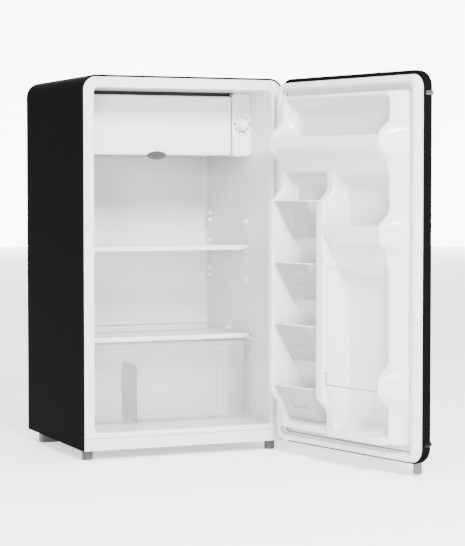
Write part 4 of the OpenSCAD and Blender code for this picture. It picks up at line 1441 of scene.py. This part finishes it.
@dataclass
class Door:
    """The door's skin, bands, seal, can trays and handle."""

    shop: Workshop
    z0: float = 25.0
    z1: float = 827.0
    corner: float = 33.0
    edge: float = 16.0
    thick: float = 29.0
    band_z: tuple[float, float] = (62.0, 776.0)
    band_tall: float = 9.0
    tray_top_z: float = 560.0
    tray_foot_z: float = 481.0
    tray_pitch: float = 134.0
    tray_wall: float = 1.8
    tray_dish: float = 3.4
    handle_x: float = -184.0
    handle_z: tuple[float, float] = (538.96, 686.96)

    def skin_profile(self, grow: float = 0.0) -> Array:
        """The skin's section from its back edge round to its face: a straight side and a quarter round.

        Round the edge the point at angle a has inset r (1 - cos a) and depth r sin a past the side's end.

        Args:
            grow: how far outside the skin it runs.

        Returns:
            Pairs of inset and depth.
        """
        a = np.linspace(0, math.pi / 2, 14)
        r = self.edge + grow
        side = [(-grow, -0.2), (-grow, -6.0), (-grow, -self.thick + self.edge)]
        round_off = np.column_stack([-grow + r * (1 - np.cos(a)), -(self.thick - self.edge) - r * np.sin(a)])
        return np.concatenate([side, round_off[1:]])

    def build_skin(self) -> bpy.types.Object:
        """The black skin: side, quarter round and face outside, and the same 1.5 mm in.

        Returns:
            The piece.
        """
        half = self.shop.half_w
        shape = Outline(-half, half, self.z0, self.z1, self.corner, self.corner, 18)
        outer = self.skin_profile()
        face = [(24.0, -self.thick), (60.0, -self.thick), (200.0, -self.thick)]
        hem = [(9.0, -1.8), (9.0, -0.2)]
        inner = outer[::-1] + np.array([1.5, 0.0])
        inner[:, 1] = np.minimum(inner[:, 1] + 1.5, -1.8)
        back = [(200.0, -self.thick + 1.5), (60.0, -self.thick + 1.5)]
        profile = np.concatenate([back, inner, hem, outer, face])
        return self.shop.piece(
            "door_skin", [(carried(shape, profile), False, True)], "door", "black_satin_paint",
            ["door_shell"], Placing.DOOR,
            slot="shell_paint",
        )

    def build_band(self, name: str, z: float, finish_name: str) -> bpy.types.Object:
        """A raised band: level cuts of the skin's outline, grown by a soft hump 4 mm high.

        At each level the section runs along the skin's side, round its edge and across its face; a level's
        growth is 0.1 + 3.6 sin(pi t)^0.5 from the band's foot to its top.

        Args:
            name: its name.
            z: Z in millimetres.
            finish_name: its finish.

        Returns:
            The piece.
        """
        half = self.shop.half_w
        levels = np.linspace(0, 1, 11)
        rows = []
        for t in levels:
            grow = 0.1 + 3.6 * math.sin(math.pi * min(max(t, 0.02), 0.98)) ** 0.5
            a = np.linspace(0, math.pi / 2, 12)
            r = self.edge + grow
            left = np.column_stack(
                [-half + self.edge - r * np.cos(a), -(self.thick - self.edge) - r * np.sin(a)]
            )
            start = np.array([[-half - grow, -3.0]])
            line = np.concatenate([start, left])
            mirrored = line[::-1] * np.array([-1.0, 1.0])
            inner = np.array([[half - 1.5, -3.0], [half - 1.5, -14.0], [half - 18, -self.thick + 1.5],
                              [-half + 18, -self.thick + 1.5], [-half + 1.5, -14.0], [-half + 1.5, -3.0]])
            ring = np.concatenate([line, mirrored, inner])
            rows.append(np.column_stack([ring[:, 0], ring[:, 1], np.full(len(ring), z + self.band_tall * t)]))
        grid = np.stack(rows)
        grid[..., 0] = np.clip(grid[..., 0], -half - 4, half + 4)
        return self.shop.piece(
            name + "_trim", [(grid, False, True)], "door", finish_name, [name], Placing.DOOR,
            slot="band_plastic",
        )

    def build_seal(self) -> bpy.types.Object:
        """The seal: a bellows profile of a foot, a narrow neck and a soft magnet pocket, carried round.

        A painted shadow line, a dark cord of its own, lies along its inner lip.

        Returns:
            The piece.
        """
        shape = Outline(-231, 231, 30, 817.5, 26, 26, 12)
        profile = curve(
            [(0.4, 0.05), (0.4, 5.4), (3.4, 7.6), (1.2, 10.6), (1.2, 16.6), (3.2, 17.6), (12.2, 17.6),
             (14.0, 15.4), (14.0, 10.6), (12.0, 7.6), (17.6, 5.2), (17.6, 0.05), (9.0, 0.05)],
            [1.0, 1.2, 1.4, 1.6, 1.2, 1.6, 1.4, 1.6, 1.2, 1.4, 1.0], 4,
        )
        return self.shop.piece(
            "door_seal", [(carried(shape, profile[:-1]), True, True)], "door", "seal_white",
            ["door_gasket"], Placing.DOOR, slot="gasket_rubber",
        )

    def build_seal_shadow_cord(self) -> bpy.types.Object:
        """A painted shadow line beside the seal's inner lip: a dark 1.2 mm cord lying on the lining.

        Returns:
            The piece.
        """
        shape = Outline(-213.2, 213.2, 47.8, 804.2, 9, 9, 8)
        grid = carried(shape, curve([(0.0, 0.1), (0.0, 0.9), (1.1, 0.9), (1.1, 0.1)], [0.3, 0.3], 3))
        # a dark cord that paints the shadow line along the seal's inner lip
        return self.shop.piece("seal_shadow_cord", [(grid, True, True)], "door", "grip_grey_and_seal_shadow", placing=Placing.DOOR)

    def build_tray(self, index: int) -> bpy.types.Object:
        """One can tray: a leaning wall along the hinge-side upright, across and back to the divider.

        The wall is ruled between a plan line at its top edge and one at its foot, both 1.8 mm thick, with a
        dished rectangle: the surface sinks by tray_dish where soft steps in the two directions multiply.

        Args:
            index: the tray's number, from nought at the top.

        Returns:
            The piece.
        """
        down = self.tray_pitch * index
        top_z, foot_z = self.tray_top_z - down, self.tray_foot_z - down
        top = curve([(183.0, 24.0), (183.0, 60.0), (66.0, 60.0), (38.5, 33.0)], [5.0, 8.0], 6)
        foot = curve([(183.0, 4.0), (183.0, 17.5), (74.0, 17.5), (56.0, 7.0)], [5.0, 8.0], 6)
        across = np.linspace(0, 1, 90)

        def even(line: Array) -> Array:
            """Spreads points evenly along a line."""
            gone = np.concatenate([[0], np.cumsum(np.linalg.norm(np.diff(line, axis=0), axis=1))])
            return np.column_stack([np.interp(across * gone[-1], gone, line[:, k]) for k in (0, 1)])

        upper, lower = even(top), even(foot)
        t = np.linspace(0, 1, 34)[:, None]
        x = lower[:, 0] * (1 - t) + upper[:, 0] * t
        d = lower[:, 1] * (1 - t) + upper[:, 1] * t
        z = foot_z + (top_z - foot_z) * t + 0 * x
        sink = rise(x, 92, 95) * (1 - rise(x, 146, 149)) * rise(t, 0.40, 0.44) * (1 - rise(t, 0.70, 0.74))
        on_front = (np.abs(np.gradient(upper[:, 0])) > 0.5)[None, :]
        d = d - self.tray_dish * sink * on_front
        z = z + 3.0 * (1 - rise(upper[:, 1][None, :] + 0 * x, 24, 60)) * t**3 * (x > 170)
        outside = np.stack([x, d, z], -1)
        middle = np.array([120.0, 0.0])
        toward = np.stack([middle[0] - x, middle[1] - d], -1)
        toward /= np.linalg.norm(toward, axis=-1)[..., None] + 1e-9
        square = np.stack([np.gradient(d, axis=1), -np.gradient(x, axis=1)], -1)
        square /= np.linalg.norm(square, axis=-1)[..., None] + 1e-9
        square *= np.sign((square * toward).sum(-1))[..., None]
        within = outside.copy()
        within[..., 0] += self.tray_wall * square[..., 0]
        within[..., 1] = np.maximum(within[..., 1] + self.tray_wall * square[..., 1], 0.6)
        ring = np.concatenate([outside, within[::-1]], axis=0)
        grid = np.swapaxes(ring, 0, 1)
        floor_top = np.column_stack([lower, np.full(len(lower), foot_z + 2.4)])
        floor_low = np.column_stack([lower, np.full(len(lower), foot_z + 0.2)])
        floor = np.stack([floor_low, floor_top])
        floor[..., 1] = np.maximum(floor[..., 1] - 0.6, 0.6)
        # the rolled bead along the top edge is real; its colour, much lighter than the tray, is a painted
        # highlight where the edge catches the light
        bead = np.column_stack([upper[:, 0], np.maximum(upper[:, 1], 1.5), z[-1] + 0.1])
        self.shop.piece(
            f"can_rest_highlight_rim_{index + 1}", [(tube(bead, 1.35, 12), False, True)], "door", "tray_rim_painted_highlight",
            placing=Placing.DOOR,
        )
        return self.shop.piece(
            f"can_rest_{index + 1}", [(grid, False, True), (floor, False, True)], "door", "tray_milky",
            [f"can_tray_{index + 1}"], Placing.DOOR, slot="tray_plastic", sharp=35.0,
        )

    def build_handle(self) -> bpy.types.Object:
        """The handle: a bar that arches out of two round feet, r = 6 + 1 sin(pi t) thick.

        Returns:
            The piece.
        """
        x, (low_z, high_z) = self.handle_x, self.handle_z
        line = curve(
            [(x, -29.1, low_z), (x, -46, low_z), (x, -49, low_z + 14), (x, -49, high_z - 14),
             (x, -46, high_z), (x, -29.1, high_z)],
            [9, 14, 14, 9], 10,
        )
        share = np.linspace(0, 1, len(line))
        bar = tube(line, 5.4 + 1.2 * np.sin(math.pi * share), 28)
        grids = [(bar, False, True)]
        for z in (low_z, high_z):
            plan = [(0.3, -29.05), (9.2, -29.05), (9.2, -31.0), (6.0, -33.5), (0.3, -33.5)]
            foot = curve(plan, [0.5, 1.4, 1.0], 5)
            grids.append((lathe(foot, (x, 0.0, z), 1, 48), False, True))
        return self.shop.piece(
            "door_pull", grids, "door", "chrome_plate", ["door_handle"], Placing.DOOR, slot="handle_chrome"
        )

    def build(self) -> int:
        """Builds the door's outer pieces.

        Returns:
            How many pieces were built.
        """
        made = [
            self.build_skin(),
            self.build_band("door_band_top", self.band_z[1], "band_metallic"),
            self.build_band("door_band_bottom", self.band_z[0], "band_black"),
            self.build_seal(),
            self.build_seal_shadow_cord(),
            self.build_handle(),
        ]
        made += [self.build_tray(i) for i in range(4)]
        return len(made)


# ---------------------------------------------------------------- what keeps its CAD shape


@dataclass
class CarriedOver:
    """CAD nodes whose shape is right and which only get a finish."""

    nodes: dict

    def wear(self) -> dict[str, str]:
        """Which finish each node wears.

        Returns:
            Finish names by node.
        """
        return {
            "outer_shell": "black_satin_paint",
            "back_panel": "dark_sheet",
            "cabinet_foam": "foam_cream",
            "kick_plate": "kick_white",
            "base_pan": "dark_sheet",
            "machine_wall_plate": "galvanised_steel",
            "compressor": "compressor_black",
            "compressor_bracket": "dark_sheet",
            "compressor_grommets": "black_rubber",
            "relay_cover": "black_plastic",
            "evaporation_tray": "black_plastic",
            "refrigerant_pipes": "copper_pipe",
            "filter_drier": "copper_pipe",
            "drain_tube": "tube_plastic",
            "mains_inlet": "black_rubber",
            "evaporator": "evaporator_aluminium",
            # evaporator_seal is partly a real black foam seal and partly painted shade: a dark strip put
            # behind the flap's top and right gaps so they show dark
            "evaporator_seal": "black_rubber",
            "thermostat": "galvanised_steel",
            "knob_spindle": "zinc_screw",
            "flap_bearing": "white_moulding",
            "upper_shelf": "shelf_glass",
            "lower_shelf": "shelf_glass",
            "front_foot_left": "foot_grey",
            "front_foot_right": "foot_grey",
            "rear_feet": "foot_grey",
            "top_hinge": "galvanised_steel",
            "bottom_hinge": "galvanised_steel",
            "hinge_pins": "zinc_screw",
            "back_screws": "zinc_screw",
            "hinge_bushes": "bush_nylon",
            "bottle_rail": "wire_white",
            "door_foot": "door_foot_grey",
            "handle_screws": "zinc_screw",
        }

    def build(self) -> int:
        """Dresses the nodes.

        Returns:
            How many nodes were dressed.
        """
        worn = self.wear()
        for name, finish_name in worn.items():
            dress(self.nodes[name], finish_name)
        return len(worn)


# ---------------------------------------------------------------- the studio


@dataclass
class Studio:
    """A pale floor, soft lights and the camera."""

    camera_at: tuple[float, float, float] = (-1.47996, -3.94829, 0.60015)
    pitch: float = 87.1791
    yaw: float = -23.0373
    lens: float = 121.5
    sky: float = 1.4
    floor_glow: float = 1.0
    paper_glow: float = 7.0
    paper_away: float = 13.0
    paper_half: float = 3.6
    paper_tall: float = 5.0

    def build_floor(self) -> None:
        """A pale floor, large enough to fill every view, faintly mottled."""
        recipe = Recipe("studio_floor")
        soft = recipe.noise(1.5, 2.0)
        recipe.set(Base_Color=recipe.between(soft, (0.90, 0.90, 0.90), (0.93, 0.93, 0.93)), Roughness=0.75,
                   Emission_Color=(1.0, 1.0, 1.0, 1.0), Emission_Strength=self.floor_glow)
        mesh = bpy.data.meshes.new("studio_floor")
        mesh.from_pydata([(-30, -30, -0.0005), (30, -30, -0.0005), (30, 30, -0.0005), (-30, 30, -0.0005)], [],
                         [(0, 1, 2, 3)])
        floor = bpy.data.objects.new("studio_floor", mesh)
        bpy.context.scene.collection.objects.link(floor)
        mesh.materials.append(recipe.material)

    def build_backdrop(self) -> None:
        """A lit sheet of paper far behind the object, square to the camera's view, faintly uneven."""
        recipe = Recipe("studio_backdrop")
        soft = recipe.noise(0.6, 2.0)
        recipe.set(
            Base_Color=recipe.between(soft, (0.88, 0.88, 0.88), (0.92, 0.92, 0.92)), Roughness=0.9,
            Emission_Color=(1.0, 1.0, 1.0, 1.0), Emission_Strength=self.paper_glow,
        )
        yaw = math.radians(-self.yaw)
        ahead, across = np.array([math.sin(yaw), math.cos(yaw)]), np.array([math.cos(yaw), -math.sin(yaw)])
        middle, reach, top = self.paper_away * ahead, self.paper_half * across, self.paper_tall
        (ax, ay), (bx, by) = middle - reach, middle + reach
        mesh = bpy.data.meshes.new("studio_backdrop")
        mesh.from_pydata([(ax, ay, 0.0), (bx, by, 0.0), (bx, by, top), (ax, ay, top)], [], [(0, 1, 2, 3)])
        sheet = bpy.data.objects.new("studio_backdrop", mesh)
        bpy.context.scene.collection.objects.link(sheet)
        mesh.materials.append(recipe.material)

    def light(self, name: str, at: Sequence[float], size: float, power: float) -> None:
        """A square soft light that looks at the object's middle.

        Args:
            name: its name.
            at: where it hangs, in metres.
            size: the length of its side.
            power: its power in watts.
        """
        data = bpy.data.lights.new(name, "AREA")
        data.size, data.energy = size, power
        lamp = bpy.data.objects.new(name, data)
        lamp.location = at
        way = np.array([0.1, -0.1, 0.42]) - np.array(at)
        flat = math.hypot(way[0], way[1])
        lamp.rotation_euler = (math.atan2(flat, -way[2]), 0.0, math.atan2(way[1], way[0]) - math.pi / 2)
        bpy.context.scene.collection.objects.link(lamp)

    def build(self) -> None:
        """Sets the floor, the lights, the sky and the camera."""
        self.build_floor()
        self.build_backdrop()
        self.light("key", (-0.2, -3.1, 2.3), 0.8, 345.0)
        self.light("strip", (-1.9, -3.4, 1.1), 0.5, 70.0)
        self.light("top", (0.2, 0.2, 3.2), 2.6, 60.0)
        world = bpy.data.worlds.new("studio_sky")
        world.use_nodes = True
        world.node_tree.nodes["Background"].inputs[0].default_value = (1, 1, 1, 1)
        world.node_tree.nodes["Background"].inputs[1].default_value = self.sky
        bpy.context.scene.world = world
        data = bpy.data.cameras.new("camera")
        data.sensor_width, data.lens = 36.0, self.lens
        data.clip_start, data.clip_end = 0.05, 80.0
        camera = bpy.data.objects.new("camera", data)
        camera.location = self.camera_at
        camera.rotation_euler = (math.radians(self.pitch), 0.0, math.radians(self.yaw))
        bpy.context.scene.collection.objects.link(camera)
        bpy.context.scene.camera = camera


def main(frame: dict) -> None:
    """Builds the studio and the pieces in order.
    """
    logging.basicConfig(level=logging.INFO, format="%(name)s: %(message)s")
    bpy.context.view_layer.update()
    shop = Workshop(frame)
    Studio().build()
    LOG.info("studio ready")
    LOG.info("carried over: %d nodes", CarriedOver(frame["nodes"]).build())
    LOG.info("cabinet: %d pieces", Cabinet(shop).build())
    LOG.info("ice compartment: %d pieces", IceCompartment(shop).build())
    LOG.info("shelves and drawer: %d pieces", Shelving(shop).build())
    LOG.info("door lining: %d pieces", DoorLining(shop).build())
    LOG.info("door: %d pieces", Door(shop).build())


if __name__ == "__main__":
    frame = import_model()
    main(frame)
